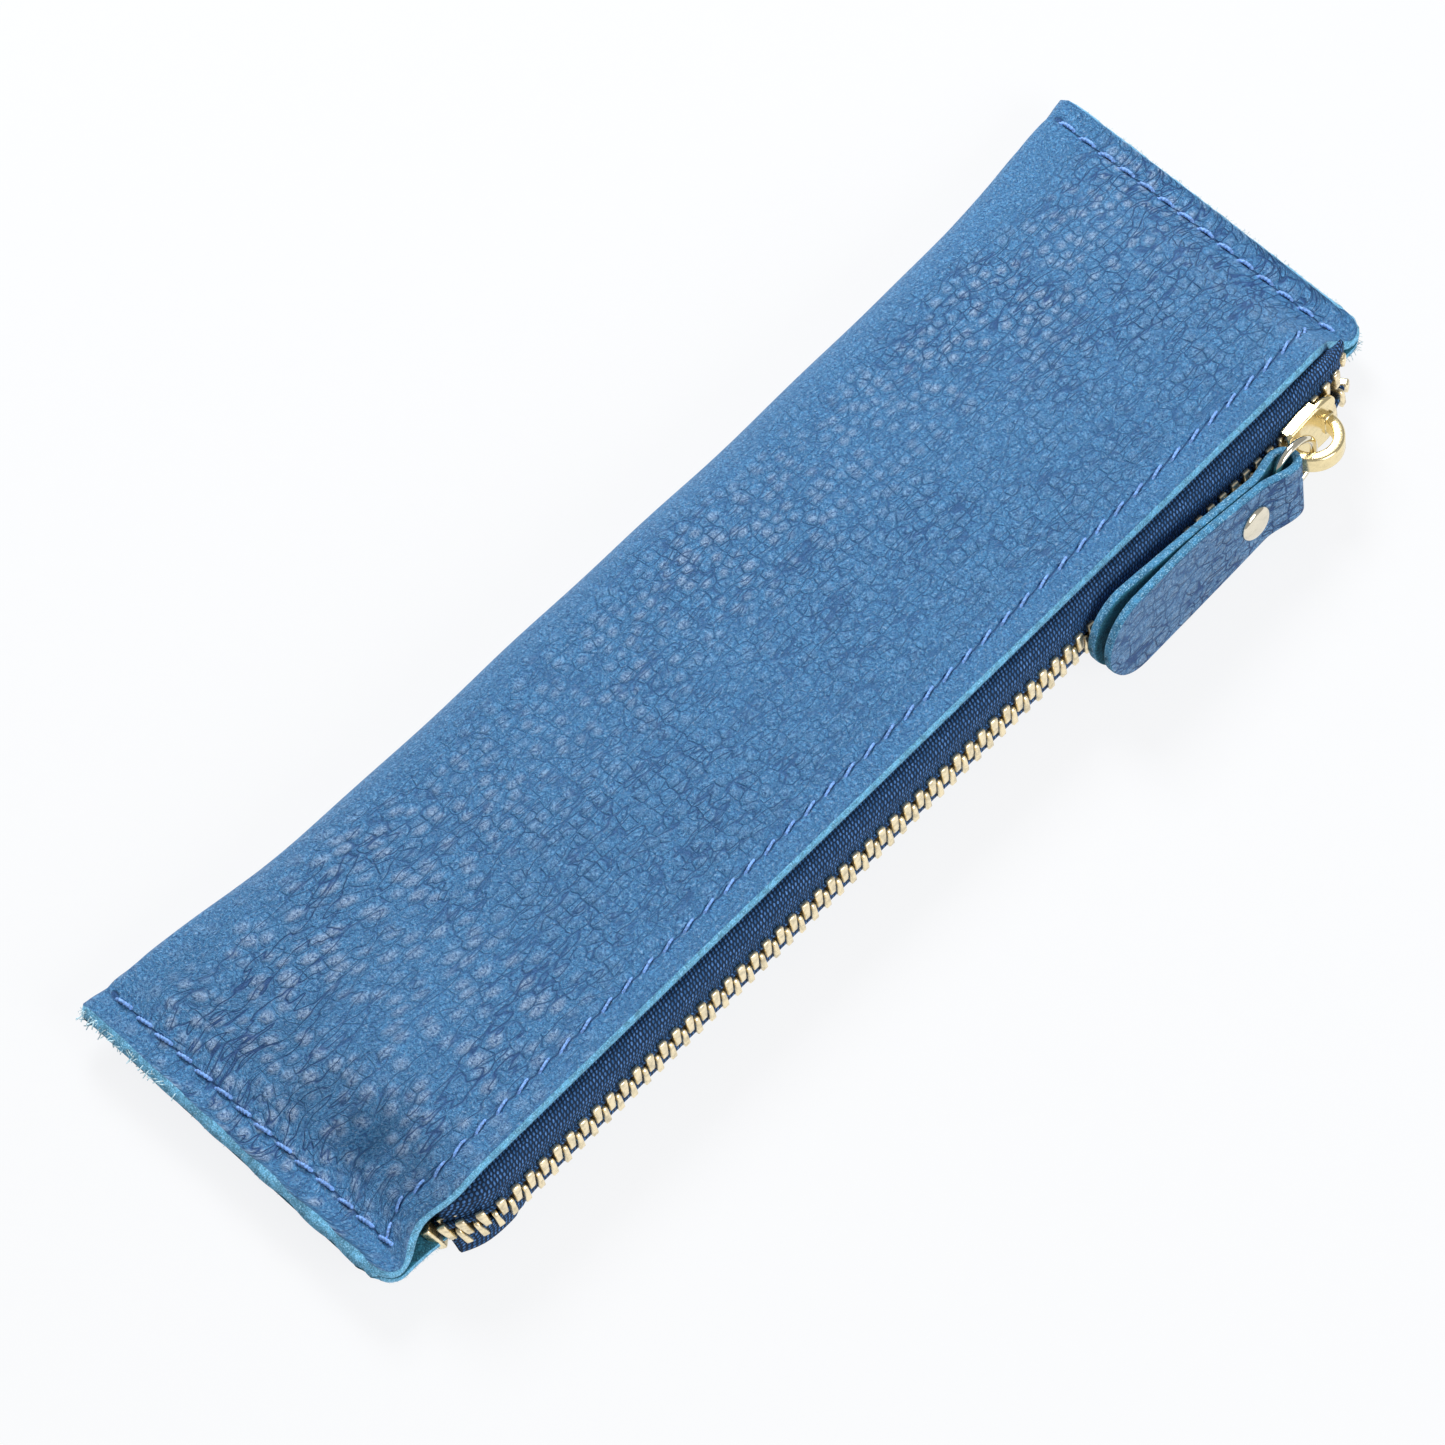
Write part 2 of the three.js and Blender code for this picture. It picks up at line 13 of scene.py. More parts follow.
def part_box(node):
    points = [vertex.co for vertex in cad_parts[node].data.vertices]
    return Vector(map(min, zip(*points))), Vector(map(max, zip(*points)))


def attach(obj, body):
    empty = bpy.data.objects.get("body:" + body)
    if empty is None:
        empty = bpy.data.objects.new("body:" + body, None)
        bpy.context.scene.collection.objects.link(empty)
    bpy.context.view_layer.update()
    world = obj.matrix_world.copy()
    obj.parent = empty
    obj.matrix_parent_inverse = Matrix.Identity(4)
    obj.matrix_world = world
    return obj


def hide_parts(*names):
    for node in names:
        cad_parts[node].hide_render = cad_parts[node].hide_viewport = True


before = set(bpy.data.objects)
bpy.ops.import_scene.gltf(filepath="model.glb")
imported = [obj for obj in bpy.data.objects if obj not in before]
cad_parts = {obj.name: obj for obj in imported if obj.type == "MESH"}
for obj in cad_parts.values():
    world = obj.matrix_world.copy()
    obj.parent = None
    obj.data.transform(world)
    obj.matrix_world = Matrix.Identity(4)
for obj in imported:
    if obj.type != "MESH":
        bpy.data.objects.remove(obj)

bl_info = {
    "name": "Leather Pencil Case",
    "version": (1, 0, 0),
    "blender": (4, 5, 0),
    "location": "3D View > Sidebar > Pencil Case",
    "description": "Folded leather pencil case with a metal zip, a looped slider and a riveted tab",
    "category": "Add Mesh",
}

MM = 0.001
GRAIN_SIDE, FLESH_SIDE, CUT_SIDE = range(3)
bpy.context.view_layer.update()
HIDE_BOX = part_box("leather_body")
SLIDER_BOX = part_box("slider_body")


# ---- sizes and colours that a user would change ----------------------------------------------


def length(name, description, default):
    """A size in metres."""
    return bpy.props.FloatProperty(
        name=name, description=description, default=default, unit="LENGTH", precision=5
    )


def colour(name, description, default):
    """A dye or metal colour, in linear light."""
    return bpy.props.FloatVectorProperty(
        name=name, description=description, default=default, subtype="COLOR", min=0, max=1
    )


def number(name, description, default, **limits):
    """A plain strength or share."""
    return bpy.props.FloatProperty(name=name, description=description, default=default, **limits)


def angle(name, description, default):
    """An angle, whose default is given in degrees."""
    return bpy.props.FloatProperty(
        name=name, description=description, default=math.radians(default), subtype="ANGLE"
    )


class PencilCaseHideSizes(bpy.types.PropertyGroup):
    """Sizes of the folded hide"""

    length: length("Length", "Length of the case", HIDE_BOX[1][0] - HIDE_BOX[0][0])
    width: length("Width", "Width from the mouth edge to the fold at the ends", 0.060)
    thickness: length("Leather", "Thickness of the hide", 0.00145)
    filled_top: length("Filled height", "Height of the filled case at the fold", 0.017)
    end_top: length("End height", "Height of the sewn ends above the table", 0.007)
    upper_mouth: length("Upper mouth edge", "Height of the upper edge of the mouth", 0.0162)
    lower_mouth: length("Lower mouth edge", "Height of the lower edge of the mouth", 0.0012)
    corner_radius: length("Corner radius", "Rounding of the corners by the zip", 0.003)
    bulge: length("Panel bulge", "How far the upper panel stands above its edges", 0.0019)
    wrinkle: number("Wrinkles", "Strength of the creases in the hide", 1.0, min=0, max=3)


class PencilCaseZipSizes(bpy.types.PropertyGroup):
    """Sizes of the zip"""

    tooth_pitch: length("Tooth pitch", "Distance between teeth of one row", 0.00258)
    tooth_width: length("Tooth width", "Size of a tooth along the chain", 0.00132)
    tooth_depth: length("Tooth depth", "Size of a tooth through the tape", 0.0024)
    tape_thickness: length("Tape thickness", "Thickness of the woven tape", 0.00055)
    cord_thickness: length("Cord thickness", "Thickness of the tape's corded edge", 0.0013)
    lean: angle("Chain lean", "How far the chain leans back from upright", 10.0)


class PencilCaseSeamSizes(bpy.types.PropertyGroup):
    """Sizes of the sewing"""

    mouth_pitch: length("Mouth stitch pitch", "Stitch pitch along the zip", 0.00405)
    end_pitch: length("End stitch pitch", "Stitch pitch along the short ends", 0.0038)
    stitch_length: length("Stitch length", "Length of thread in view", 0.0030)
    thread: length("Thread", "Thickness of the thread", 0.00050)
    from_mouth: length("Seam to mouth", "Distance from the mouth edge to its seam", 0.0038)
    from_end: length("Seam to end", "Distance from the short end to its seam", 0.0040)
    slant: angle("Slant", "Angle of each stitch to its seam", 14.0)


class PencilCaseColours(bpy.types.PropertyGroup):
    """Colours of the materials"""

    leather: colour("Leather", "Dyed grain side", (0.058, 0.246, 0.497))
    # painted shade for the grooves, creases, wrinkles and needle holes
    leather_shade: colour("Leather grooves", "Grooves between the pebbles", (0.012, 0.072, 0.230))
    # painted sheen highlight for the pebble tops
    leather_sheen: colour("Leather tops", "Rubbed tops of the pebbles", (0.270, 0.410, 0.620))
    suede: colour("Suede", "Flesh side of the hide", (0.020, 0.190, 0.290))
    raw_edge: colour("Raw edge", "Cut edge of the hide", (0.180, 0.560, 0.880))
    tab_edge: colour("Tab edge", "Cut edge of the tab", (0.060, 0.300, 0.560))
    fibre: colour("Fibre", "Ends of loose fibres", (0.640, 0.900, 1.000))
    tape: colour("Tape", "Woven zip tape", (0.019, 0.092, 0.250))
    thread: colour("Thread", "Sewing thread", (0.155, 0.325, 0.700))
    teeth: colour("Teeth", "Brass of the teeth", (1.000, 0.860, 0.580))
    gold: colour("Gold", "Plating of the slider", (0.930, 0.780, 0.450))
    ring: colour("Ring", "Plating of the ring and the rivet", (0.820, 0.760, 0.620))


class PencilCaseProperties(bpy.types.PropertyGroup):
    """Everything that shapes the pencil case"""

    hide: bpy.props.PointerProperty(type=PencilCaseHideSizes)
    zip: bpy.props.PointerProperty(type=PencilCaseZipSizes)
    seam: bpy.props.PointerProperty(type=PencilCaseSeamSizes)
    colours: bpy.props.PointerProperty(type=PencilCaseColours)


# ---- small tools -----------------------------------------------------------------------------


def ease(start, end, value):
    """0 at start, 1 at end and smooth between them."""
    t = np.clip((np.asarray(value, float) - start) / (end - start), 0.0, 1.0)
    return t * t * (3 - 2 * t)


def hump(centre, spread, value):
    """1 at the centre, falling off smoothly on both sides."""
    return np.exp(-(((np.asarray(value, float) - centre) / spread) ** 2))


def unit(vectors):
    """Vectors made one long."""
    return vectors / np.linalg.norm(vectors, axis=-1, keepdims=True)


def bezier(points, count):
    """Points along a cubic curve through four control points."""
    t = np.linspace(0, 1, count)[:, None]
    a, b, c, d = (np.asarray(p, float) for p in points)
    return (1 - t) ** 3 * a + 3 * t * (1 - t) ** 2 * b + 3 * t * t * (1 - t) * c + t**3 * d


def arc_length(points):
    """Distance along a polyline at each of its points."""
    return np.concatenate([[0], np.cumsum(np.linalg.norm(np.diff(points, axis=0), axis=1))])


def resample(points, at):
    """Points of a polyline at the given distances along it."""
    along = arc_length(points)
    return np.stack([np.interp(at, along, points[:, k]) for k in range(points.shape[1])], 1)


def new_mesh_object(name, points_mm, faces, smooth=True):
    """An object at the origin whose mesh has the given points, in millimetres."""
    mesh = bpy.data.meshes.new(name)
    mesh.from_pydata((np.asarray(points_mm) * MM).tolist(), [], faces)
    mesh.update()
    if smooth:
        mesh.shade_smooth()
    piece = bpy.data.objects.new(name, mesh)
    bpy.context.collection.objects.link(piece)
    return piece


def add_uv(piece, uv_mm):
    """One UV per vertex, in metres along and across the piece's own surface."""
    mesh = piece.data
    loops = np.zeros(len(mesh.loops), dtype=np.int32)
    mesh.loops.foreach_get("vertex_index", loops)
    layer = mesh.uv_layers.new(name="surface")
    layer.data.foreach_set("uv", (np.asarray(uv_mm)[loops] * MM).ravel().astype(np.float32))


def set_materials(piece, materials, indices=None):
    """Gives a piece its materials, and each face the one that indices names."""
    for material in materials:
        piece.data.materials.append(material)
    if indices is not None:
        piece.data.polygons.foreach_set("material_index", np.asarray(indices, dtype=np.int32))
    piece.data.update()


def finish_piece(piece, body, slot, *nodes):
    """Rides a piece on its body and hides the model nodes it stands for; slot is not used."""
    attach(piece, body)
    if nodes:
        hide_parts(*nodes)


def grid_faces(rows, columns, first=0, closed=False, flip=False):
    """Quads over a grid of points; a closed grid joins its last column to its first."""
    faces = []
    for i in range(rows - 1):
        for j in range(columns if closed else columns - 1):
            k = (j + 1) % columns
            a, b = first + i * columns + j, first + i * columns + k
            c, d = a + columns, b + columns
            faces.append((a, c, d, b) if flip else (a, b, d, c))
    return faces


def sweep(rings):
    """A tube through rings of equal count, closed at both ends: points and faces."""
    rings = np.asarray(rings)
    rows, columns = rings.shape[:2]
    faces = grid_faces(rows, columns, closed=True)
    faces.append(tuple(reversed(range(columns))))
    faces.append(tuple((rows - 1) * columns + j for j in range(columns)))
    return rings.reshape(-1, 3), faces


def two_sided_sheet(rows, columns):
    """Faces of a sheet, the side that each is on, and the points along its border.

    The points run as the outer skin, the inner skin, and one rim point for each border point.
    """
    count = rows * columns
    skin = (rows - 1) * (columns - 1)
    faces = grid_faces(rows, columns) + grid_faces(rows, columns, first=count, flip=True)
    sides = [GRAIN_SIDE] * skin + [FLESH_SIDE] * skin
    index = np.arange(count).reshape(rows, columns)
    border = np.concatenate([index[0, :-1], index[:-1, -1], index[-1, :0:-1], index[:0:-1, 0]])
    for k in range(len(border)):
        n = (k + 1) % len(border)
        a, b = int(border[k]), int(border[n])
        rim, next_rim = 2 * count + k, 2 * count + n
        faces.append((a, rim, next_rim, b))
        faces.append((rim, count + a, count + b, next_rim))
        sides += [CUT_SIDE, CUT_SIDE]
    return faces, sides, border


def outward(piece):
    """Turns every face of a closed piece to point out of it."""
    work = bmesh.new()
    work.from_mesh(piece.data)
    bmesh.ops.recalc_face_normals(work, faces=work.faces)
    work.to_mesh(piece.data)
    work.free()
    piece.data.update()


def plain_mesh(piece):
    """Makes what the piece's modifiers give into its own plain mesh."""
    graph = bpy.context.evaluated_depsgraph_get()
    mesh = bpy.data.meshes.new_from_object(piece.evaluated_get(graph))
    old = piece.data
    piece.modifiers.clear()
    piece.data = mesh
    mesh.name = piece.name
    bpy.data.meshes.remove(old)


# ---- node trees ------------------------------------------------------------------------------


class Nodes:
    """A short way to write node trees: each call adds a node and gives its first output."""

    def __init__(self, tree):
        self.tree = tree

    def add(self, kind, *values, out=0, **settings):
        node = self.tree.nodes.new(kind)
        sockets = {}
        for key, value in settings.items():
            if hasattr(node, key):
                setattr(node, key, value)
            else:
                sockets[key.replace("_", " ")] = value
        for index, value in enumerate(values):
            self.feed(node.inputs[index], value)
        for key, value in sockets.items():
            self.feed(next(s for s in node.inputs if s.name == key and s.enabled), value)
        return node.outputs[out]

    def feed(self, socket, value):
        if value is None:
            return
        if isinstance(value, bpy.types.NodeSocket):
            self.tree.links.new(value, socket)
        elif socket.type == "VECTOR" and not hasattr(value, "__len__"):
            socket.default_value = (value, value, value)
        elif socket.type == "RGBA":
            socket.default_value = (*value[:3], 1.0)
        else:
            socket.default_value = value

    def math(self, operation, a, b=None, clamp=False):
        return self.add("ShaderNodeMath", a, b, operation=operation, use_clamp=clamp)

    def vector_math(self, operation, a, b=None):
        return self.add("ShaderNodeVectorMath", a, b, operation=operation)

    def scaled(self, vector, factor):
        result = self.add("ShaderNodeVectorMath", vector, operation="SCALE")
        self.feed(self.tree.nodes[-1].inputs["Scale"], factor)
        return result

    def step(self, value, start, end, low=0.0, high=1.0):
        return self.add(
            "ShaderNodeMapRange", value, start, end, low, high, interpolation_type="SMOOTHSTEP"
        )

    def mix(self, factor, a, b):
        node = self.tree.nodes.new("ShaderNodeMix")
        node.data_type = "RGBA"
        self.feed(node.inputs["Factor"], factor)
        colours = [s for s in node.inputs if s.type == "RGBA"]
        self.feed(colours[0], a)
        self.feed(colours[1], b)
        return next(s for s in node.outputs if s.type == "RGBA")

    def noise(self, vector, scale, detail=2.0, roughness=0.5):
        return self.add(
            "ShaderNodeTexNoise", Vector=vector, Scale=scale, Detail=detail, Roughness=roughness
        )

    def voronoi(self, vector, scale, feature, randomness):
        return self.add(
            "ShaderNodeTexVoronoi", Vector=vector, Scale=scale, Randomness=randomness,
            feature=feature,
        )

    def bump(self, height, distance, strength):
        return self.add(
            "ShaderNodeBump", Height=height, Distance=distance, Strength=strength
        )


def new_material(name):
    """An empty material and the helper that fills it."""
    material = bpy.data.materials.new(name)
    material.use_nodes = True
    material.node_tree.nodes.clear()
    return material, Nodes(material.node_tree)


def surface(nodes, **sockets):
    """Ends a material with one Principled shader."""
    shader = nodes.tree.nodes.new("ShaderNodeBsdfPrincipled")
    for key, value in sockets.items():
        nodes.feed(shader.inputs[key.replace("_", " ")], value)
    output = nodes.tree.nodes.new("ShaderNodeOutputMaterial")
    nodes.tree.links.new(shader.outputs[0], output.inputs["Surface"])


def surface_place(nodes):
    """The piece's own surface map in millimetres, and its two coordinates."""
    uv = nodes.add("ShaderNodeUVMap", uv_map="surface")
    place = nodes.scaled(uv, 1 / MM)
    split = nodes.tree.nodes.new("ShaderNodeSeparateXYZ")
    nodes.tree.links.new(place, split.inputs[0])
    return place, split.outputs[0], split.outputs[1]


# ---- materials -------------------------------------------------------------------------------


def warped(nodes, place, scale, amount):
    """Place pushed about by smooth noise, so that no cell keeps a straight side."""
    nodes.noise(place, scale, 2.0)
    push = nodes.tree.nodes[-1].outputs["Color"]
    return nodes.vector_math("ADD", place, nodes.scaled(
        nodes.vector_math("SUBTRACT", push, (0.5, 0.5, 0.5)), amount))


def thin_line(nodes, place, scale, width, detail=2.0):
    """1 on the thin wandering lines where a noise crosses its middle."""
    middle = nodes.math("SUBTRACT", nodes.noise(place, scale, detail, 0.55), 0.5)
    return nodes.step(nodes.math("ABSOLUTE", middle), width, 0.0)


def zigzag_seam(nodes, along, across, pitch, slant_offset, margin):
    """0 away from a seam, 1 on the sunk line that joins its needle holes."""
    phase = nodes.math("FRACT", nodes.math("DIVIDE", along, pitch))
    saw = nodes.math("PINGPONG", nodes.math("ADD", phase, 0.25), 0.5)
    swing = nodes.math("MULTIPLY", nodes.math("SUBTRACT", saw, 0.25), 4 * slant_offset)
    away = nodes.math("ABSOLUTE", nodes.math("SUBTRACT", across, swing))
    return nodes.step(away, margin, 0.05)


GRAIN_DEPTH = 0.40 * MM
PEBBLE_SPREAD = 0.6


def grain_leather(name, colours, pebble=0.54, relief=1.0, fine_sheen=0.0, hide=None, seam=None):
    """Milled grain: domes with painted sheen on their tops, grooves and fine wrinkles darkened with
    painted shade.

    pebble is how many domes there are in a millimetre, and the number after relief is how much
    painted sheen lies over the skin between the domes, more on its fine high points. Given the
    hide's sizes, the grain fades at the fold and the mouth and coarsens toward the left end, and
    the painted sheen on the dome tops keeps to a band of the upper panel and the left end.
    """
    material, nodes = new_material(name)
    place, along, across = surface_place(nodes)

    def times(a, b):
        return nodes.math("MULTIPLY", a, b)

    # how strong the grain is from place to place, and where painted sheen highlights go on its tops
    patches = nodes.noise(place, 0.035, 2.0)
    strength = nodes.step(patches, 0.36, 0.62, 0.70 * relief, relief)
    laid = nodes.vector_math("MULTIPLY", place, (0.8, 1.0, 1.0))
    shine, left_end = nodes.math("MULTIPLY", strength, 0.35), 0.0
    if hide is not None:
        end = nodes.step(nodes.math("ABSOLUTE", along), 45, 85, 1.0, 1.25)
        from_fold = nodes.math("ABSOLUTE", nodes.math("SUBTRACT", across, SHEET_WIDTH / 2))
        smooth_fold = nodes.step(from_fold, 5, 13, 0.22, 1.0)
        from_mouth = nodes.math("SUBTRACT", SHEET_WIDTH / 2, from_fold)
        smooth_mouth = nodes.step(from_mouth, 2, 8, 0.45, 1.0)
        strength = times(times(strength, end), times(smooth_fold, smooth_mouth))
        # a band of the upper panel, and the left end, where the painted sheen highlight lies on the
        # dome tops
        belly = times(nodes.step(from_fold, 7, 15), nodes.step(from_fold, 38, 22, 0.30, 1.0))
        left_end = nodes.step(along, -45, -90)
        shine = times(strength, nodes.math("MAXIMUM", belly, nodes.step(along, -50, -62)))
        laid = nodes.add(
            "ShaderNodeCombineXYZ",
            nodes.math("ADD", times(along, 0.8), times(left_end, 9.0)),
            times(across, nodes.math("SUBTRACT", 1.0, times(left_end, 0.22))))

    # domes, the grooves between them, long creases along the case and fine wrinkles
    bent = warped(nodes, warped(nodes, laid, 0.22, 1.1), 1.3, 0.22)
    dome = nodes.step(nodes.voronoi(bent, pebble, "F1", PEBBLE_SPREAD), 0.58, 0.16)
    edges = nodes.voronoi(bent, pebble, "DISTANCE_TO_EDGE", PEBBLE_SPREAD)
    groove = nodes.step(edges, 0.085, 0.0)
    faint = nodes.noise(place, 0.33, 2.0)
    groove = times(groove, nodes.step(faint, 0.36, 0.58, 0.35, 1.0))
    stretched = nodes.vector_math("MULTIPLY", place, (0.28, 1.0, 1.0))
    creases = thin_line(nodes, warped(nodes, stretched, 0.22, 0.7), 0.30, 0.022)
    groove = nodes.math("SUBTRACT", groove, times(left_end, 0.35), clamp=True)
    groove = nodes.math("MAXIMUM", groove, creases)
    wrinkle = thin_line(nodes, warped(nodes, place, 1.0, 0.7), 1.45, 0.070, 3.0)
    fine = nodes.noise(warped(nodes, place, 0.8, 0.6), 2.1, 3.0, 0.8)

    # relief, in shares of the grain's depth
    height = times(times(dome, strength), 1.10)
    height = nodes.math("SUBTRACT", height, times(times(groove, strength), 0.70))
    height = nodes.math("SUBTRACT", height, times(wrinkle, 0.30))
    height = nodes.math("ADD", height, times(fine, 1.20))

    # colour: painted sheen highlights on the dome tops and fine high points over the dye, then
    # painted shade in the grooves, creases, wrinkles and fine low places over both
    dark = nodes.math("MAXIMUM", times(times(groove, strength), 0.85), times(wrinkle, 0.45))
    dark = nodes.math("MAXIMUM", dark, nodes.step(fine, 0.51, 0.37, 0.0, 0.85))
    pale = times(times(dome, shine), nodes.step(fine, 0.40, 0.52, 0.40, 1.0))
    pale = nodes.math("MAXIMUM", pale, nodes.step(fine, 0.52, 0.66, fine_sheen, fine_sheen + 0.6))
    base = nodes.mix(pale, colours.leather, colours.leather_sheen)
    base = nodes.mix(dark, base, colours.leather_shade)

    if seam is not None:
        holes = seam_masks(nodes, along, across, hide, seam)
        height = nodes.math("SUBTRACT", height, times(holes, 1.1))
        # painted shade in the sunk seam lines and needle holes
        base = nodes.mix(times(holes, 0.85), base, colours.leather_shade)

    rough = nodes.step(height, 0.0, 1.2, 0.62, 0.42)
    normal = nodes.bump(height, GRAIN_DEPTH, 1.0)
    surface(nodes, Base_Color=base, Roughness=rough, Normal=normal, IOR=1.48)
    return material


def seam_masks(nodes, along, across, hide, seam):
    """Sunk zigzag lines under the hide's seams, and the open needle hole at each end's fold."""
    flat = SHEET_WIDTH / 2
    half = hide.length / MM / 2
    to_mouth = nodes.math("SUBTRACT", flat, nodes.math(
        "ABSOLUTE", nodes.math("SUBTRACT", across, flat)))
    beside_mouth = nodes.math("SUBTRACT", to_mouth, seam.from_mouth / MM)
    mouth = zigzag_seam(nodes, along, beside_mouth, seam.mouth_pitch / MM, 0.26, 0.36)
    to_end = nodes.math("SUBTRACT", half, nodes.math("ABSOLUTE", along))
    beside_end = nodes.math("SUBTRACT", to_end, seam.from_end / MM)
    beside_end = nodes.math("MULTIPLY", beside_end, nodes.math("SIGN", along))
    end = zigzag_seam(nodes, across, beside_end, seam.end_pitch / MM, 0.16, 0.40)
    inside_mouth = nodes.step(to_end, 3.4, 4.2)
    from_fold = nodes.math("SUBTRACT", flat, to_mouth)
    inside_end = nodes.math(
        "MULTIPLY", nodes.step(to_mouth, 3.0, 3.8), nodes.step(from_fold, 3.4, 4.2))
    mouth = nodes.math("MULTIPLY", mouth, inside_mouth)
    end = nodes.math("MULTIPLY", end, inside_end)
    beside_hole = nodes.add(
        "ShaderNodeCombineXYZ", beside_end, nodes.math("SUBTRACT", from_fold, HOLE_FROM_FOLD))
    away = nodes.add("ShaderNodeVectorMath", beside_hole, operation="LENGTH", out=1)
    seams = nodes.math("MAXIMUM", mouth, end)
    return nodes.math("MAXIMUM", seams, nodes.step(away, 0.75, 0.40))


OBJECT_PLACE = 3


def suede(name, tint, light, bump_mm=0.25, speck=0.5):
    """Cut fibres: a matted nap, darker in its low places as painted shade, with lighter specks
    where fibre ends catch the light.
    """
    material, nodes = new_material(name)
    place = nodes.add("ShaderNodeTexCoord", out=OBJECT_PLACE)
    nap = nodes.noise(place, 4200, 4.0, 0.75)
    clumps = nodes.noise(place, 900, 3.0, 0.6)
    # painted shade: the nap is darker where its relief is low
    tone = nodes.step(nodes.math("ADD", nodes.math("MULTIPLY", nap, 0.65),
                                 nodes.math("MULTIPLY", clumps, 0.35)), 0.38, 0.62)
    base = nodes.mix(tone, tuple(c * 0.35 for c in tint), tint)
    specks = nodes.math("MULTIPLY", nodes.step(nap, 0.54, 0.70), speck)
    base = nodes.mix(specks, base, light)
    height = nodes.math("ADD", nap, nodes.math("MULTIPLY", clumps, 1.4))
    normal = nodes.bump(height, bump_mm * MM, 0.9)
    surface(
        nodes, Base_Color=base, Roughness=0.95, Normal=normal,
        Sheen_Weight=0.1, Sheen_Roughness=0.6, Sheen_Tint=light,
    )
    return material


def woven_tape(name, tint):
    """Rows of slanted yarn floats, packed like bricks, with painted shade in the gaps between them
    and a painted glint on each, some stronger than others.
    """
    material, nodes = new_material(name)
    surface_at, along, across = surface_place(nodes)
    row_height, run, slant = 0.55, 0.62, math.radians(40)
    half_long, half_short = 0.33, 0.19
    # rows that wander a little, each started at its own place along the tape
    wobble = nodes.noise(surface_at, 0.5, 2.0)
    row = nodes.math("ADD", nodes.math("DIVIDE", across, row_height),
                     nodes.math("MULTIPLY", wobble, 1.3))
    row_number = nodes.math("FLOOR", row)
    rise = nodes.math("MULTIPLY", nodes.math(
        "SUBTRACT", nodes.math("FRACT", row), 0.5), row_height)
    stagger = nodes.add("ShaderNodeTexWhiteNoise", W=row_number, noise_dimensions="1D")
    place = nodes.math("ADD", nodes.math("DIVIDE", along, run), stagger)
    column = nodes.math("FLOOR", place)
    side = nodes.math("MULTIPLY", nodes.math("SUBTRACT", nodes.math("FRACT", place), 0.5), run)
    # one slanted oval of yarn in each cell
    long_way = nodes.math("ADD", nodes.math("MULTIPLY", side, math.sin(slant)),
                          nodes.math("MULTIPLY", rise, math.cos(slant)))
    short_way = nodes.math("SUBTRACT", nodes.math("MULTIPLY", side, math.cos(slant)),
                           nodes.math("MULTIPLY", rise, math.sin(slant)))
    oval = nodes.math(
        "ADD",
        nodes.math("POWER", nodes.math("DIVIDE", long_way, half_long), 2.0),
        nodes.math("POWER", nodes.math("DIVIDE", short_way, half_short), 2.0),
    )
    yarn = nodes.step(oval, 1.25, 0.15)
    # some yarns catch more light than others
    chance = nodes.add("ShaderNodeTexWhiteNoise", nodes.add(
        "ShaderNodeCombineXYZ", column, row_number), noise_dimensions="3D")
    fibre = nodes.noise(nodes.add("ShaderNodeTexCoord", out=OBJECT_PLACE), 6500, 3.0, 0.6)
    light = tuple(c * 2.2 + 0.07 for c in tint)
    # painted shade in the gaps between the yarn floats
    dark = tuple(c * 0.20 for c in tint)
    base = nodes.mix(yarn, dark, tint)
    glint = nodes.math("MULTIPLY", nodes.math("POWER", yarn, 2.0),
                       nodes.step(fibre, 0.35, 0.65, 0.3, 1.0))
    glint = nodes.math("MULTIPLY", glint, nodes.step(chance, 0.2, 1.0, 0.15, 1.0))
    base = nodes.mix(glint, base, light)
    height = nodes.math("ADD", yarn, nodes.math("MULTIPLY", fibre, 0.3))
    normal = nodes.bump(height, 0.24 * MM, 1.0)
    surface(nodes, Base_Color=base, Roughness=0.7, Normal=normal, Specular_IOR_Level=0.25)
    return material


def twisted_thread(name, tint):
    """Glossy plied yarn, with painted light and shade on its plies: lighter where its relief stands
    up, darker where it sinks.
    """
    material, nodes = new_material(name)
    place = nodes.add("ShaderNodeTexCoord", out=OBJECT_PLACE)
    fibre = nodes.noise(place, 7000, 3.0, 0.6)
    plies = nodes.noise(place, 2600, 1.0)
    # painted light and shade that follows the plies' relief
    tone = nodes.step(plies, 0.35, 0.65)
    base = nodes.mix(tone, tuple(c * 0.7 for c in tint), tuple(min(1, c * 1.3) for c in tint))
    height = nodes.math("ADD", fibre, plies)
    normal = nodes.bump(height, 0.02 * MM, 0.8)
    surface(nodes, Base_Color=base, Roughness=0.5, Normal=normal, Sheen_Weight=0.1)
    return material


def polished_metal(name, tint, roughness, bump_mm, hollow_darkening):
    """Tumbled plating, made darker in the low places of its bump noise by the last share given."""
    material, nodes = new_material(name)
    place = nodes.add("ShaderNodeTexCoord", out=OBJECT_PLACE)
    tumble = nodes.noise(place, 900, 3.0, 0.6)
    fine = nodes.noise(place, 5200, 3.0, 0.6)
    dark = tuple(c * (1 - hollow_darkening) for c in tint)
    base = nodes.mix(nodes.step(tumble, 0.3, 0.6), dark, tint)
    rough = nodes.step(fine, 0.3, 0.7, roughness * 0.75, roughness * 1.4)
    height = nodes.math("ADD", tumble, nodes.math("MULTIPLY", fine, 0.3))
    normal = nodes.bump(height, bump_mm * MM, 0.7)
    surface(nodes, Base_Color=base, Metallic=1.0, Roughness=rough, Normal=normal)
    return material


def studio_paper():
    """Pale backdrop that is lit a little from within, so that shadows on it stay soft."""
    material, nodes = new_material("studio_paper")
    place = nodes.add("ShaderNodeTexCoord", out=OBJECT_PLACE)
    grain = nodes.noise(place, 300, 2.0)
    base = nodes.mix(grain, (0.076, 0.078, 0.081), (0.080, 0.082, 0.085))
    surface(nodes, Base_Color=base, Roughness=1.0, Specular_IOR_Level=0.0,
            Emission_Color=(0.985, 0.99, 1.0), Emission_Strength=0.868)
    return material


# ---- the folded hide -------------------------------------------------------------------------

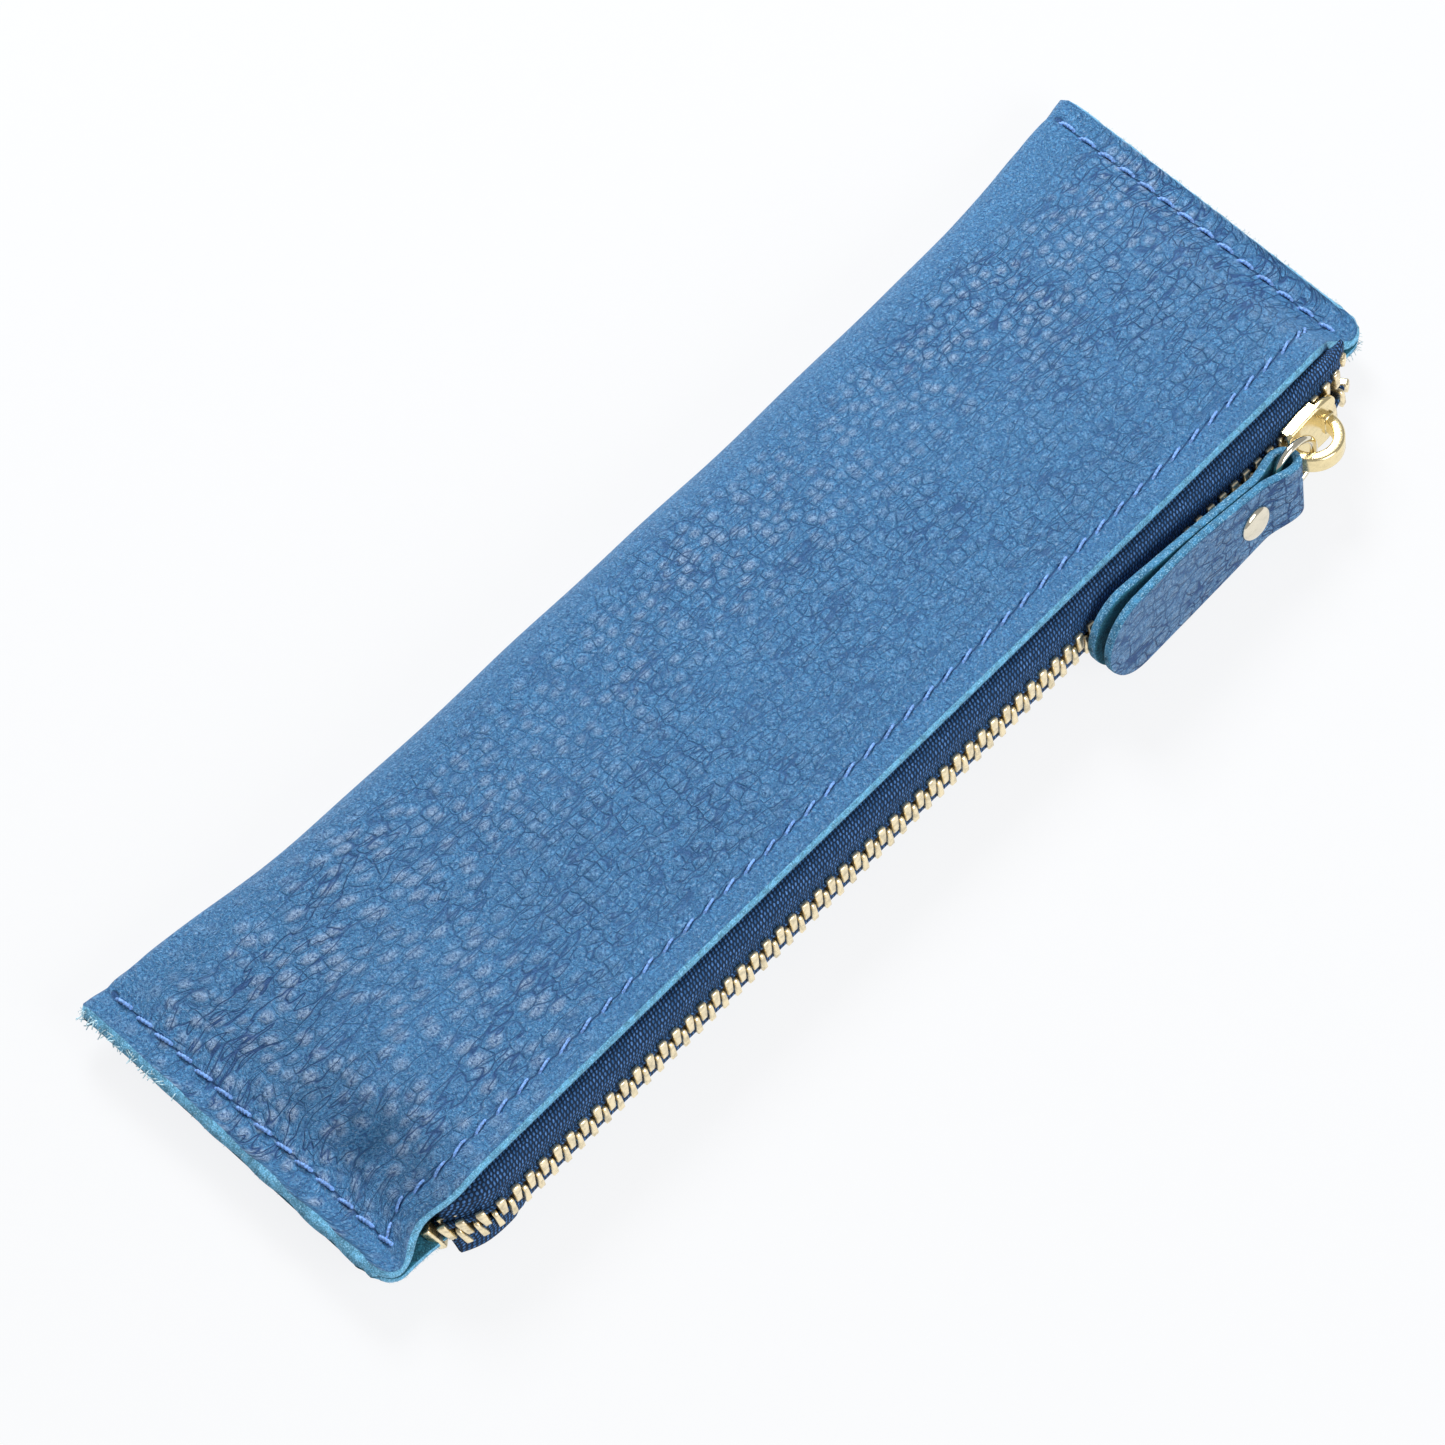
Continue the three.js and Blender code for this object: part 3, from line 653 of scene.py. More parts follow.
SHEET_WIDTH = 121.0  # across the unfolded sheet, from one mouth edge to the other
HOLE_FROM_FOLD = 2.7
LAYER_GAP = 0.12  # between the two layers at a sewn end
FILL_FLATNESS = 2.6  # higher keeps the case full for longer
FILL_SHOULDER = 1.2  # higher softens its fall to the ends
FOLD_PULL = 1.35  # how far filling the case draws its fold in
BULGE_FLATNESS = 6
MOUTH_RISE = ((-99, -84), (99, 88))  # where the mouth opens from each end
MOUTH_WAVES = ((2.3, -94, 4), (1.5, 95, 4))  # size, place and spread of the upper edge's waves
DENTS = (  # height, place along and its spread, place round the hide and its spread
    (-1.5, -92, 7, 12, 9), (-0.8, -88, 9, 38, 10), (0.7, -80, 9, 22, 9),
    (-0.8, 91, 6, 14, 10), (0.35, 84, 10, 30, 12),
)
CUT_SKEW = 0.4  # how far a cut edge slopes from the grain side to the flesh side
LEFT_CUT_SKEW = 0.9
FLAT_END = -19.0  # where the belly stops lying flat and rises to the lower mouth edge
EDGE_STEPS = [0, 0.2, 0.55, 1.0, 1.6, 2.2, 2.7, 3.1, 3.45, 3.8, 4.15, 4.5, 5.0, 5.7, 6.6, 7.6]


def case_section(hide, x):
    """Heights and widths of the hide's middle surface at one place along the case."""
    half_length, half = hide.length / MM / 2, hide.thickness / MM / 2
    end_top, filled_top = hide.end_top / MM, hide.filled_top / MM
    fullness = (1 - min(1.0, abs(x) / half_length) ** FILL_FLATNESS) ** FILL_SHOULDER
    end_bottom = end_top - 4 * half - LAYER_GAP
    top = end_top + (filled_top - end_top) * fullness - half
    bottom = end_bottom * float(ease(0.62 * half_length, half_length, abs(x))) + half
    radius = (top - bottom) / 2
    flat_radius = half + LAYER_GAP / 2
    pulled_in = FOLD_PULL * (math.pi / 2 - 1) * (radius - flat_radius)
    mouth = float(ease(*MOUTH_RISE[0 if x < 0 else 1], x))
    corner = hide.corner_radius / MM
    past = max(0.0, abs(x) - (half_length - corner))
    inset = corner - math.sqrt(max(0.0, corner**2 - past**2))
    half_width = hide.width / MM / 2
    wave = sum(size * float(hump(place, spread, x)) for size, place, spread in MOUTH_WAVES)
    upper_z = end_top + (hide.upper_mouth / MM - end_top) * mouth - half
    lower_z = end_bottom + (hide.lower_mouth / MM - end_bottom) * mouth + half
    return {
        "top": top,
        "bottom": bottom,
        "radius": radius,
        "fold": half_width - pulled_in - half - radius,
        "bulge": hide.bulge / MM * (1 - (abs(x) / half_length) ** BULGE_FLATNESS),
        "upper": (0.2 - half_width + wave + inset, upper_z),
        "lower": (inset - half_width, lower_z),
    }


def sheet_line(hide, x):
    """The hide's middle line in (y, z) from the upper mouth edge round the fold to the lower."""
    c = case_section(hide, x)
    crown = max(c["upper"][1], c["top"]) + c["bulge"]
    panel = bezier(
        [c["upper"], (c["upper"][0] + 17, crown),
         (c["fold"] - 17, c["top"] + 0.4 * c["bulge"]), (c["fold"], c["top"])], 60)
    turn = np.linspace(np.pi / 2, -np.pi / 2, 33)[1:]
    middle = (c["top"] + c["bottom"]) / 2
    fold = np.stack(
        [c["fold"] + c["radius"] * np.cos(turn), middle + c["radius"] * np.sin(turn)], 1)
    belly = np.linspace((c["fold"], c["bottom"]), (FLAT_END, c["bottom"]), 20)[1:]
    sag = c["bottom"] + 0.2 * (c["lower"][1] - c["bottom"])
    lip = bezier([(FLAT_END, c["bottom"]), (-23, c["bottom"]), (-26, sag), c["lower"]], 20)[1:]
    return np.concatenate([panel, fold, belly, lip])


def wrinkles(x, v):
    """How far creases lift the upper panel, by place along (x) and round (v) the hide."""
    panel = ease(1.0, 9.0, v) * ease(66, 50, v)
    left = hump(-88, 13, x)
    creases = 0.55 * np.sin(0.62 * v + 0.05 * x + 1.2 * np.sin(0.11 * x)) * left
    dents = sum(size * hump(along, wide, x) * hump(round_v, deep, v)
                for size, along, wide, round_v, deep in DENTS)
    wave = 0.22 * np.sin(0.09 * x + 0.16 * v) + 0.15 * np.sin(0.21 * x - 0.12 * v + 1.0)
    return panel * (creases + dents + wave * ease(102, 80, abs(x)))


class HideSurface:
    """The hide as a grid: stations along the case, columns round the fold."""

    def __init__(self, props):
        hide, seam = props.hide, props.seam
        half_length = hide.length / MM / 2
        self.half = hide.thickness / MM / 2
        steps = np.array(EDGE_STEPS)
        ends = -half_length + steps
        inner = np.linspace(ends[-1], -ends[-1], 188)[1:-1]
        self.x = np.concatenate([ends, inner, -ends[::-1]])
        middle = np.linspace(steps[-1], SHEET_WIDTH - steps[-1], 110)[1:-1]
        self.v = np.concatenate([steps, middle, SHEET_WIDTH - steps[::-1]])
        self.points = np.array([self.station(hide, x) for x in self.x])
        along = np.gradient(self.points, self.x, axis=0)
        across = np.gradient(self.points, axis=1)
        self.normals = unit(np.cross(along, across))
        grid_x, grid_v = np.meshgrid(self.x, self.v, indexing="ij")
        dip = self.seam_dip(seam, half_length, grid_x, grid_v)
        lift = hide.wrinkle * wrinkles(grid_x, grid_v) + dip
        self.points = self.points + self.normals * lift[..., None]
        along = np.gradient(self.points, self.x, axis=0)
        across = np.gradient(self.points, axis=1)
        self.normals = unit(np.cross(along, across))

    def station(self, hide, x):
        """Points across the sheet at x, at true distances near the two mouth edges."""
        line = sheet_line(hide, x)
        total = arc_length(line)[-1]
        at = self.v * total / SHEET_WIDTH
        near = self.v < EDGE_STEPS[-1]
        far = self.v > SHEET_WIDTH - EDGE_STEPS[-1]
        at = np.where(near, self.v, np.where(far, total - (SHEET_WIDTH - self.v), at))
        at = np.sort(at)
        flat = resample(line, at)
        return np.concatenate([np.full((len(at), 1), x), flat], 1)

    def seam_dip(self, seam, half_length, x, v):
        """How far the seams pull the leather in and the cut edges stand out."""
        to_mouth = np.minimum(v, SHEET_WIDTH - v)
        to_end = half_length - np.abs(x)
        mouth = hump(seam.from_mouth / MM, 0.7, to_mouth) * ease(3.5, 4.5, to_end)
        end = hump(seam.from_end / MM, 0.7, to_end) * ease(3.0, 4.0, to_mouth)
        end = end * ease(2.5, 5.5, SHEET_WIDTH / 2 - to_mouth)
        pillow = 0.10 * hump(1.8, 1.1, to_end) + 0.08 * hump(1.8, 1.0, to_mouth)
        mouth_flare = 0.6 * np.clip(1 - v / 4.2, 0, 1) ** 2 * ease(2.0, 6.0, to_end)
        end_flare = 0.8 * np.clip(1 - to_end / 4.0, 0, 1) ** 2 * ease(66, 55, v)
        return pillow - 0.24 * np.maximum(mouth, end) + np.maximum(mouth_flare, end_flare)

    def at(self, x, v, lift=0.0):
        """Points and outward directions on the grain side at places (x, v)."""
        i = np.clip(np.searchsorted(self.x, x) - 1, 0, len(self.x) - 2)
        j = np.clip(np.searchsorted(self.v, v) - 1, 0, len(self.v) - 2)
        s = ((x - self.x[i]) / (self.x[i + 1] - self.x[i]))[:, None]
        t = ((v - self.v[j]) / (self.v[j + 1] - self.v[j]))[:, None]

        def blend(grid):
            low = grid[i, j] * (1 - t) + grid[i, j + 1] * t
            high = grid[i + 1, j] * (1 - t) + grid[i + 1, j + 1] * t
            return low * (1 - s) + high * s

        normals = unit(blend(self.normals))
        return blend(self.points) + normals * (self.half + lift), normals


def make_hide(props):
    """The folded sheet: grain outside, flesh inside and a ragged cut edge all round."""
    sheet = HideSurface(props)
    rows, columns = len(sheet.x), len(sheet.v)
    rng = np.random.default_rng(4)
    ragged = rng.normal(0, 0.035, (rows, columns, 1))
    border_only = np.zeros((rows, columns, 1))
    border_only[[0, -1]] = 1
    border_only[:, [0, -1]] = 1
    outer = sheet.points + sheet.normals * sheet.half
    inner = sheet.points - sheet.normals * sheet.half
    outer = outer - sheet.normals * border_only * 0.14
    inner = inner + sheet.normals * border_only * 0.10
    inner[0, :, 0] -= LEFT_CUT_SKEW
    inner[-1, :, 0] += CUT_SKEW
    mouth_out = unit(sheet.points[:, 0] - sheet.points[:, 1])
    inner[:, 0] += CUT_SKEW * mouth_out
    outer += sheet.normals * ragged * border_only

    faces, sides, border = two_sided_sheet(rows, columns)
    flat_outer, flat_inner = outer.reshape(-1, 3), inner.reshape(-1, 3)
    rim = (flat_outer[border] + flat_inner[border]) / 2
    edge_run = rim - np.roll(rim, 1, axis=0)
    edge_out = unit(np.cross(edge_run, sheet.normals.reshape(-1, 3)[border]))
    reach = 0.10 + rng.normal(0, 0.05, (len(border), 1))
    rim = rim + edge_out * reach * edge_sign(edge_out, rim)

    piece = new_mesh_object("leather_hide", np.concatenate([flat_outer, flat_inner, rim]), faces)
    grid_x, grid_v = np.meshgrid(sheet.x, sheet.v, indexing="ij")
    uv = np.stack([grid_x, grid_v], -1).reshape(-1, 2)
    add_uv(piece, np.concatenate([uv, uv, uv[border]]))
    grain = grain_leather("grain_leather", props.colours, hide=props.hide, seam=props.seam)
    flesh, cut = bpy.data.materials["flesh_side"], bpy.data.materials["raw_edge"]
    set_materials(piece, [grain, flesh, cut], sides)
    outward(piece)
    finish_piece(piece, "case", "leather", "leather_body")


def edge_sign(direction, place):
    """1 where a direction points away from the middle of the case in plan, otherwise -1."""
    away = (direction[:, :2] * place[:, :2]).sum(1)
    return np.where(away >= 0, 1.0, -1.0)[:, None]


# ---- the zip ---------------------------------------------------------------------------------

CHAIN_Y = -33.7
CHAIN_Z = 8.7
LEFT_TURN = -84.0  # past these two the chain bends in to the case's corners
RIGHT_TURN = 88.0
ROW_SPREAD = 2.15  # how far each row stands from the middle where the zip is open
TAPE_EDGE = 1.5  # from the chain's middle to the tape's free edge
TAPE_BEND_UPPER = 4.9  # from the chain's middle to where the tape turns in to the mouth
TAPE_BEND_LOWER = 2.9
TAPE_BEND_LEFT = 1.9  # how much further out the lower tape turns at the left corner
TAPE_UNDER = (0.6, 6.0)  # how far under the mouth edge the tape lies flat from, and to
CORD_ENDS = (-91.5, 94.0)
CORD_OFFSET = 1.6
FIRST_TOOTH_X = -91.2
TOOTH_COUNT = 71
LOWER_ROW_SHIFT = 0.35
TOOTH_SLOT = 0.34
TOOTH_ROWS = (  # side, word, share of the full width, share of the full leg length
    (1, "upper", 1.0, 1.0),
    (-1, "lower", 0.74, 0.92),
)
SOLID_LEVELS = 5  # the levels of a tooth from its head to where its legs part
TOOTH_LEVELS = (  # height, share of the width, share of the depth
    (-0.95, 0.62, 0.60), (-0.70, 0.74, 0.82), (-0.10, 0.70, 0.98), (0.60, 0.74, 1.00),
    (1.30, 0.86, 1.00), (2.10, 0.94, 0.98), (2.70, 1.00, 0.94), (2.95, 0.96, 0.84),
)
LEG_LEVELS = 2  # the last levels, which the share of leg length moves


def slider_place():
    """Where the slider's middle is along the chain."""
    return (SLIDER_BOX[0][0] + SLIDER_BOX[1][0]) / 2 / MM + 0.15


def row_spread(x):
    """How far each row stands off the middle: closed left of the slider, open right of it."""
    middle = slider_place()
    return ROW_SPREAD * ease(middle - 1.7, middle + 4.3, x)


def chain_frame(props, x):
    """Middle, run, width and outside of the closed chain at places x."""
    x = np.atleast_1d(np.asarray(x, float))
    left = np.maximum(0, LEFT_TURN - x)
    right = np.maximum(0, x - RIGHT_TURN)
    centre = np.stack(
        [x, CHAIN_Y + 0.062 * left**2 + 0.05 * right**2, CHAIN_Z - 0.05 * left**2], 1)
    along = unit(np.stack([np.ones_like(x), 0.1 * right - 0.124 * left, 0.1 * left], 1))
    lean = np.full_like(x, props.zip.lean)
    across = np.stack([np.zeros_like(x), np.sin(lean), np.cos(lean)], 1)
    out = unit(np.cross(along, across))
    across = np.cross(out, along)
    return centre, along, across, out


def tape_line(props, x, side):
    """Tape in (y, z): from the cord out of the chain, then round to its seam in the mouth."""
    centre, _, across, _ = (v[0] for v in chain_frame(props, x))
    flat, up = centre[1:], across[1:] * side
    spread = float(row_spread(x))
    start = flat + up * (TAPE_EDGE + spread)
    corner = float(ease(LEFT_TURN + 5, LEFT_TURN, x))
    bend_at = TAPE_BEND_UPPER if side > 0 else TAPE_BEND_LOWER + TAPE_BEND_LEFT * corner
    bend = flat + up * (bend_at + spread * 0.6)
    line = sheet_line(props.hide, x)
    total = arc_length(line)[-1]
    reach = props.hide.thickness / MM / 2 + props.zip.tape_thickness / MM / 2 + 0.02
    at = np.array(TAPE_UNDER) if side > 0 else total - np.array(TAPE_UNDER)
    mouth, seam = resample(line, at)
    mouth, seam = mouth - (0, side * reach), seam - (0, side * reach)
    curve = bezier([bend, bend + up, mouth + (-2.0, 0.4 * side), mouth], 12)
    return np.concatenate([[start], curve, np.linspace(mouth, seam, 4)[1:]])


def make_tape(props, side, word):
    """One woven tape, from its row of teeth to under its mouth edge."""
    xs = np.concatenate(
        [np.linspace(-91.5, -84, 9), np.linspace(-83, 80, 110), np.linspace(80.8, 94.5, 22)])
    half = props.zip.tape_thickness / MM / 2
    steps = np.linspace(0, 1, 22)
    rings, uv = [], []
    for x in xs:
        line = tape_line(props, x, side)
        total = arc_length(line)[-1]
        flat = resample(line, steps * total)
        normal = np.gradient(flat, axis=0)
        normal = unit(np.stack([-normal[:, 1], normal[:, 0]], 1)) * side
        near = flat + normal * half
        far = flat - normal * half
        ring = np.concatenate([near, far[::-1]])
        rings.append(np.concatenate([np.full((len(ring), 1), x), ring], 1))
        across = steps * total * side
        uv.append(np.stack([np.full(len(ring), x), np.concatenate([across, across[::-1]])], 1))
    points, faces = sweep(rings)
    piece = new_mesh_object(f"{word}_woven_tape", points, faces)
    add_uv(piece, np.concatenate(uv))
    set_materials(piece, [bpy.data.materials["zip_weave"]])
    outward(piece)
    finish_piece(piece, "case", "zip_tape", f"{word}_zip_tape")


def row_line(props, side, start, end, offset, steps):
    """A line along one row, a given distance from the chain's middle, and its two directions."""
    xs = np.linspace(start, end, steps)
    centre, along, across, out = chain_frame(props, xs)
    reach = side * (offset + row_spread(xs))
    return centre + across * reach[:, None], along, across * side, out


def make_cord(props, side, word):
    """The tape's corded edge, a twisted bead that the teeth are closed over."""
    points, _, across, out = row_line(props, side, *CORD_ENDS, CORD_OFFSET, 420)
    corners = 10
    radius = props.zip.cord_thickness / MM / 2
    turn = np.linspace(0, 2 * np.pi, corners, endpoint=False)
    twist = arc_length(points)[:, None] * 2.6
    lobes = radius * (1 + 0.10 * np.cos(2 * (turn[None, :] + twist)))
    rings = (points[:, None] + across[:, None] * (np.cos(turn)[None, :] * lobes)[..., None]
             + out[:, None] * (np.sin(turn)[None, :] * lobes * 0.8)[..., None])
    vertices, faces = sweep(rings)
    piece = new_mesh_object(f"{word}_cord", vertices, faces)
    distance = np.repeat(arc_length(points), corners)
    add_uv(piece, np.stack([distance, np.tile(turn * radius, len(points))], 1))
    set_materials(piece, [bpy.data.materials["zip_weave"]])
    outward(piece)
    finish_piece(piece, "case", "zip_tape")


def make_tooth_mould(props, slim, reach):
    """One tooth: x along the chain, y through the tape, z from the head to the legs."""
    width = props.zip.tooth_width / MM / 2 * slim
    depth = props.zip.tooth_depth / MM / 2
    heights = [z for z, _, _ in TOOTH_LEVELS]
    heights[-LEG_LEVELS:] = [z * reach for z in heights[-LEG_LEVELS:]]
    points = []
    for z, (_, w, d) in zip(heights, TOOTH_LEVELS):
        for y in (-depth * d, -TOOTH_SLOT, TOOTH_SLOT, depth * d):
            points += [(-width * w, y, z), (width * w, y, z)]

    # each level holds 8 points: pairs 0, 2, 4 and 6 step through the tape
    legs, bridge = [(0, 2), (4, 6)], (2, 4)
    faces = []
    for level in range(len(TOOTH_LEVELS) - 1):
        low, high = 8 * level, 8 * level + 8
        solid = level < SOLID_LEVELS - 1
        for a, b in [legs[0], bridge, legs[1]] if solid else legs:
            faces.append((low + a, low + b, high + b, high + a))
            faces.append((low + a + 1, high + a + 1, high + b + 1, low + b + 1))
        for w in [0, 6] if solid else [0, 2, 4, 6]:
            faces.append((low + w, high + w, high + w + 1, low + w + 1))
    for a, b in (legs[0], bridge, legs[1]):
        faces.append((a, a + 1, b + 1, b))
    top, slot = 8 * (len(TOOTH_LEVELS) - 1), 8 * (SOLID_LEVELS - 1)
    for a, b in legs:
        faces.append((top + a, top + b, top + b + 1, top + a + 1))
    faces.append((slot + 2, slot + 4, slot + 5, slot + 3))

    mould = new_mesh_object("tooth_mould", points, faces)
    work = bmesh.new()
    work.from_mesh(mould.data)
    bmesh.ops.recalc_face_normals(work, faces=work.faces)
    sharp = [e for e in work.edges if len(e.link_faces) == 2 and e.calc_face_angle() > 0.7]
    bmesh.ops.bevel(work, geom=sharp, offset=0.09 * MM, segments=1, affect="EDGES")
    work.to_mesh(mould.data)
    work.free()
    mould.data.shade_smooth()
    return mould


def new_geometry_tree(name, inputs):
    """A Geometry Nodes tree with named inputs, its group input node and its Nodes helper."""
    tree = bpy.data.node_groups.new(name, "GeometryNodeTree")
    tree.interface.new_socket("Geometry", in_out="INPUT", socket_type="NodeSocketGeometry")
    tree.interface.new_socket("Geometry", in_out="OUTPUT", socket_type="NodeSocketGeometry")
    for label, kind in inputs:
        tree.interface.new_socket(label, in_out="INPUT", socket_type=kind)
    nodes = Nodes(tree)
    given = tree.nodes.new("NodeGroupInput").outputs
    return tree, nodes, given


def end_tree(nodes, geometry, material):
    """Ends a tree with real geometry in the given material."""
    realized = nodes.add("GeometryNodeRealizeInstances", geometry)
    named = nodes.add("GeometryNodeSetMaterial", realized, Material=material)
    output = nodes.tree.nodes.new("NodeGroupOutput")
    nodes.tree.links.new(named, output.inputs[0])


def run_tree(piece, tree, **values):
    """Puts the tree on the piece, sets its inputs by identifier, and keeps the result."""
    modifier = piece.modifiers.new(tree.name, "NODES")
    modifier.node_group = tree
    for item in tree.interface.items_tree:
        if item.item_type == "SOCKET" and item.in_out == "INPUT":
            key = item.name.lower().replace(" ", "_")
            if key in values:
                modifier[item.identifier] = values[key]
    plain_mesh(piece)


def line_object(name, points_mm, directions):
    """A polyline whose points carry a direction named facing."""
    mesh = bpy.data.meshes.new(name)
    edges = [(i, i + 1) for i in range(len(points_mm) - 1)]
    mesh.from_pydata((points_mm * MM).tolist(), edges, [])
    facing = mesh.attributes.new("facing", "FLOAT_VECTOR", "POINT")
    facing.data.foreach_set("vector", directions.ravel().astype(np.float32))
    piece = bpy.data.objects.new(name, mesh)
    bpy.context.collection.objects.link(piece)
    return piece


def spaced_tree(name, extra):
    """A tree that spaces points along a line and turns them to its run and facing."""
    tree, nodes, given = new_geometry_tree(
        name, [("Pitch", "NodeSocketFloat"), ("Material", "NodeSocketMaterial"), *extra])
    curve = nodes.add("GeometryNodeMeshToCurve", given["Geometry"])
    spaced = nodes.add(
        "GeometryNodeResampleCurve", Curve=curve, Length=given["Pitch"], mode="LENGTH")
    facing = nodes.add("GeometryNodeInputNamedAttribute", "facing", data_type="FLOAT_VECTOR")
    tangent = nodes.add("GeometryNodeInputTangent")
    turn = nodes.add("FunctionNodeAxesToRotation", facing, tangent, primary_axis="Z",
                     secondary_axis="X")
    return tree, nodes, given, spaced, turn


def teeth_tree():
    """The mould's tooth at every pitch of a line."""
    tree, nodes, given, spaced, turn = spaced_tree("zip_teeth", [("Tooth", "NodeSocketObject")])
    info = nodes.tree.nodes.new("GeometryNodeObjectInfo")
    nodes.tree.links.new(given["Tooth"], info.inputs["Object"])
    placed = nodes.add("GeometryNodeInstanceOnPoints", spaced, Instance=info.outputs["Geometry"],
                       Rotation=turn)
    end_tree(nodes, placed, given["Material"])
    return tree


def make_teeth(props, side, word, tree, mould):
    """One row of teeth, the lower row half a pitch on and set back a little."""
    pitch = props.zip.tooth_pitch / MM
    start = FIRST_TOOTH_X + (0 if side > 0 else pitch / 2 - LOWER_ROW_SHIFT)
    run = pitch * TOOTH_COUNT
    points, _, across, _ = row_line(props, side, start, start + run, 0.0, 900)
    at = np.linspace(0, run, 600)
    along = arc_length(points)
    facing = np.stack([np.interp(at, along, across[:, k]) for k in range(3)], 1)
    piece = line_object(f"{word}_brass_teeth", resample(points, at), facing)
    brass = bpy.data.materials["teeth_brass"]
    run_tree(piece, tree, pitch=pitch * MM, tooth=mould, material=brass)
    finish_piece(piece, "case", "zip_brass", f"{word}_zip_teeth")


def block(name, size_mm, bevel_mm, place):
    """A softened block, carried by a 4x4 place."""
    work = bmesh.new()
    bmesh.ops.create_cube(work, size=1.0)
    bmesh.ops.scale(work, vec=Vector(size_mm) * MM, verts=work.verts)
    bmesh.ops.bevel(work, geom=work.edges[:], offset=bevel_mm * MM, segments=3, affect="EDGES",
                    profile=0.6)
    bmesh.ops.transform(work, matrix=place, verts=work.verts)
    mesh = bpy.data.meshes.new(name)
    work.to_mesh(mesh)
    work.free()
    mesh.shade_smooth()
    piece = bpy.data.objects.new(name, mesh)
    bpy.context.collection.objects.link(piece)
    return piece


def chain_matrix(props, x, side, offset):
    """Place on a row: X along the chain, Y outside, Z toward the row's legs."""
    centre, along, across, out = (v[0] for v in chain_frame(props, x))
    origin = (centre + across * side * (offset + float(row_spread(x)))) * MM
    matrix = Matrix((along, out * side, across * side)).transposed().to_4x4()
    matrix.translation = Vector(origin)
    return matrix


def make_stops(props):
    """The block past the last tooth of each row, and the one across both at the left."""
    brass = bpy.data.materials["teeth_brass"]
    for side, word in ((1, "upper"), (-1, "lower")):
        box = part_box(f"{word}_top_stop")
        x = (box[0][0] + box[1][0]) / 2 / MM
        stop = block(f"{word}_end_block", (1.5, 2.0, 1.9), 0.35, chain_matrix(props, x, side, 1.9))
        set_materials(stop, [brass])
        finish_piece(stop, "case", "zip_brass", f"{word}_top_stop")
    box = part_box("bottom_stop")
    stop = block("bottom_block", (1.5, 2.0, 5.0), 0.4,
                 chain_matrix(props, (box[0][0] + box[1][0]) / 2 / MM - 3.0, 1, 0))
    set_materials(stop, [brass])
    finish_piece(stop, "case", "zip_brass", "bottom_stop")


# ---- the slider, ring and tab ----------------------------------------------------------------

PLATE_INSIDE = 1.45  # from the slider's middle to the inner face of each plate
PLATE = 1.1
LUG = (0.95, 1.75)  # half sizes of the two feet that hold the crown, along and across
LUG_FROM_CROWN_END = 0.9
CROWN_FOOT = 2.85
CROWN_HALF = 4.85
CROWN_SHIFT = -0.9
CROWN_DROP = -0.4
CROWN_HEIGHT = 5.0
CROWN_RIM = 1.75
CROWN_WIDTH = 3.1
CROWN_ROUNDING = 0.42
RING_RADIUS = 4.3
RING_WIRE = 0.6
RING_FROM_CREASE = (0.4, 2.1, 0)
TAB_CREASE = (76.6, -38.2, 7.7)
TAB_LEAN = math.radians(12)
TAB_RISE = math.radians(3)
TAB_LENGTH = 43.2
TAB_LEATHER = 1.3
TAB_END_RADIUS = 7.3
TAB_WIDTHS = (10.6, 14.6)  # at the ring and where the rounded end begins
TAB_BEND_END = 3.0  # where the fold round the ring turns into the two flat layers
RIVET_FROM_CREASE = 10.9
RIVET_SIDES = 48


def slider_matrix(props):
    """Place of the slider: X along the chain, Y across it, Z out of the case."""
    lean = props.zip.lean
    across = Vector((0, math.sin(lean), math.cos(lean)))
    out = Vector((0, -math.cos(lean), math.sin(lean)))
    matrix = Matrix((Vector((1, 0, 0)), across, out)).transposed().to_4x4()
    matrix.translation = Vector((slider_place(), CHAIN_Y, CHAIN_Z)) * MM
    return matrix


def tab_matrix():
    """Place of the tab: X from its crease to its end, Y across it, Z through its layers."""
    matrix = Matrix((
        Vector((-1, 0, 0)),
        Vector((0, math.sin(TAB_LEAN), math.cos(TAB_LEAN))),
        Vector((0, math.cos(TAB_LEAN), -math.sin(TAB_LEAN))),
    )).transposed().to_4x4() @ Matrix.Rotation(TAB_RISE, 4, "Z")
    matrix.translation = Vector(TAB_CREASE) * MM
    return matrix


def slab(work, outline, low, high, bevel):
    """Adds a flat plate with softened rims to a bmesh; lengths in millimetres."""
    part = bmesh.new()
    base = [part.verts.new((x * MM, y * MM, low * MM)) for x, y in outline]
    face = part.faces.new(base)
    raised = bmesh.ops.extrude_face_region(part, geom=[face])
    lifted = [v for v in raised["geom"] if isinstance(v, bmesh.types.BMVert)]
    bmesh.ops.translate(part, vec=(0, 0, (high - low) * MM), verts=lifted)
    bmesh.ops.recalc_face_normals(part, faces=part.faces)
    rims = [e for e in part.edges if e.calc_face_angle(0) > 1.2
            and abs(e.verts[0].co.z - e.verts[1].co.z) < 1e-7]
    bmesh.ops.bevel(part, geom=rims, offset=bevel * MM, segments=3, affect="EDGES", profile=0.6)
    mesh = bpy.data.meshes.new("slab")
    part.to_mesh(mesh)
    part.free()
    work.from_mesh(mesh)
    bpy.data.meshes.remove(mesh)


def plate_outline():
    """Half outline from the tail to the nose, mirrored across the slider."""
    tail, nose = -5.4, 5.1
    corner = [(tail, 0), (tail, 3.0), (tail + 0.25, 3.75), (tail + 1.0, 4.1)]
    shoulder = bezier([(1.2, 4.75), (nose - 1.5, 4.9), (nose - 0.1, 4.3), (nose, 2.7)], 12)
    notch = bezier([(nose, 2.7), (nose - 0.15, 1.6), (nose - 0.5, 0.8), (nose - 0.55, 0)], 8)[1:]
    half = np.array([*corner, *shoulder, *notch])
    other = half[1:-1][::-1] * (1, -1)
    return np.concatenate([half, other])


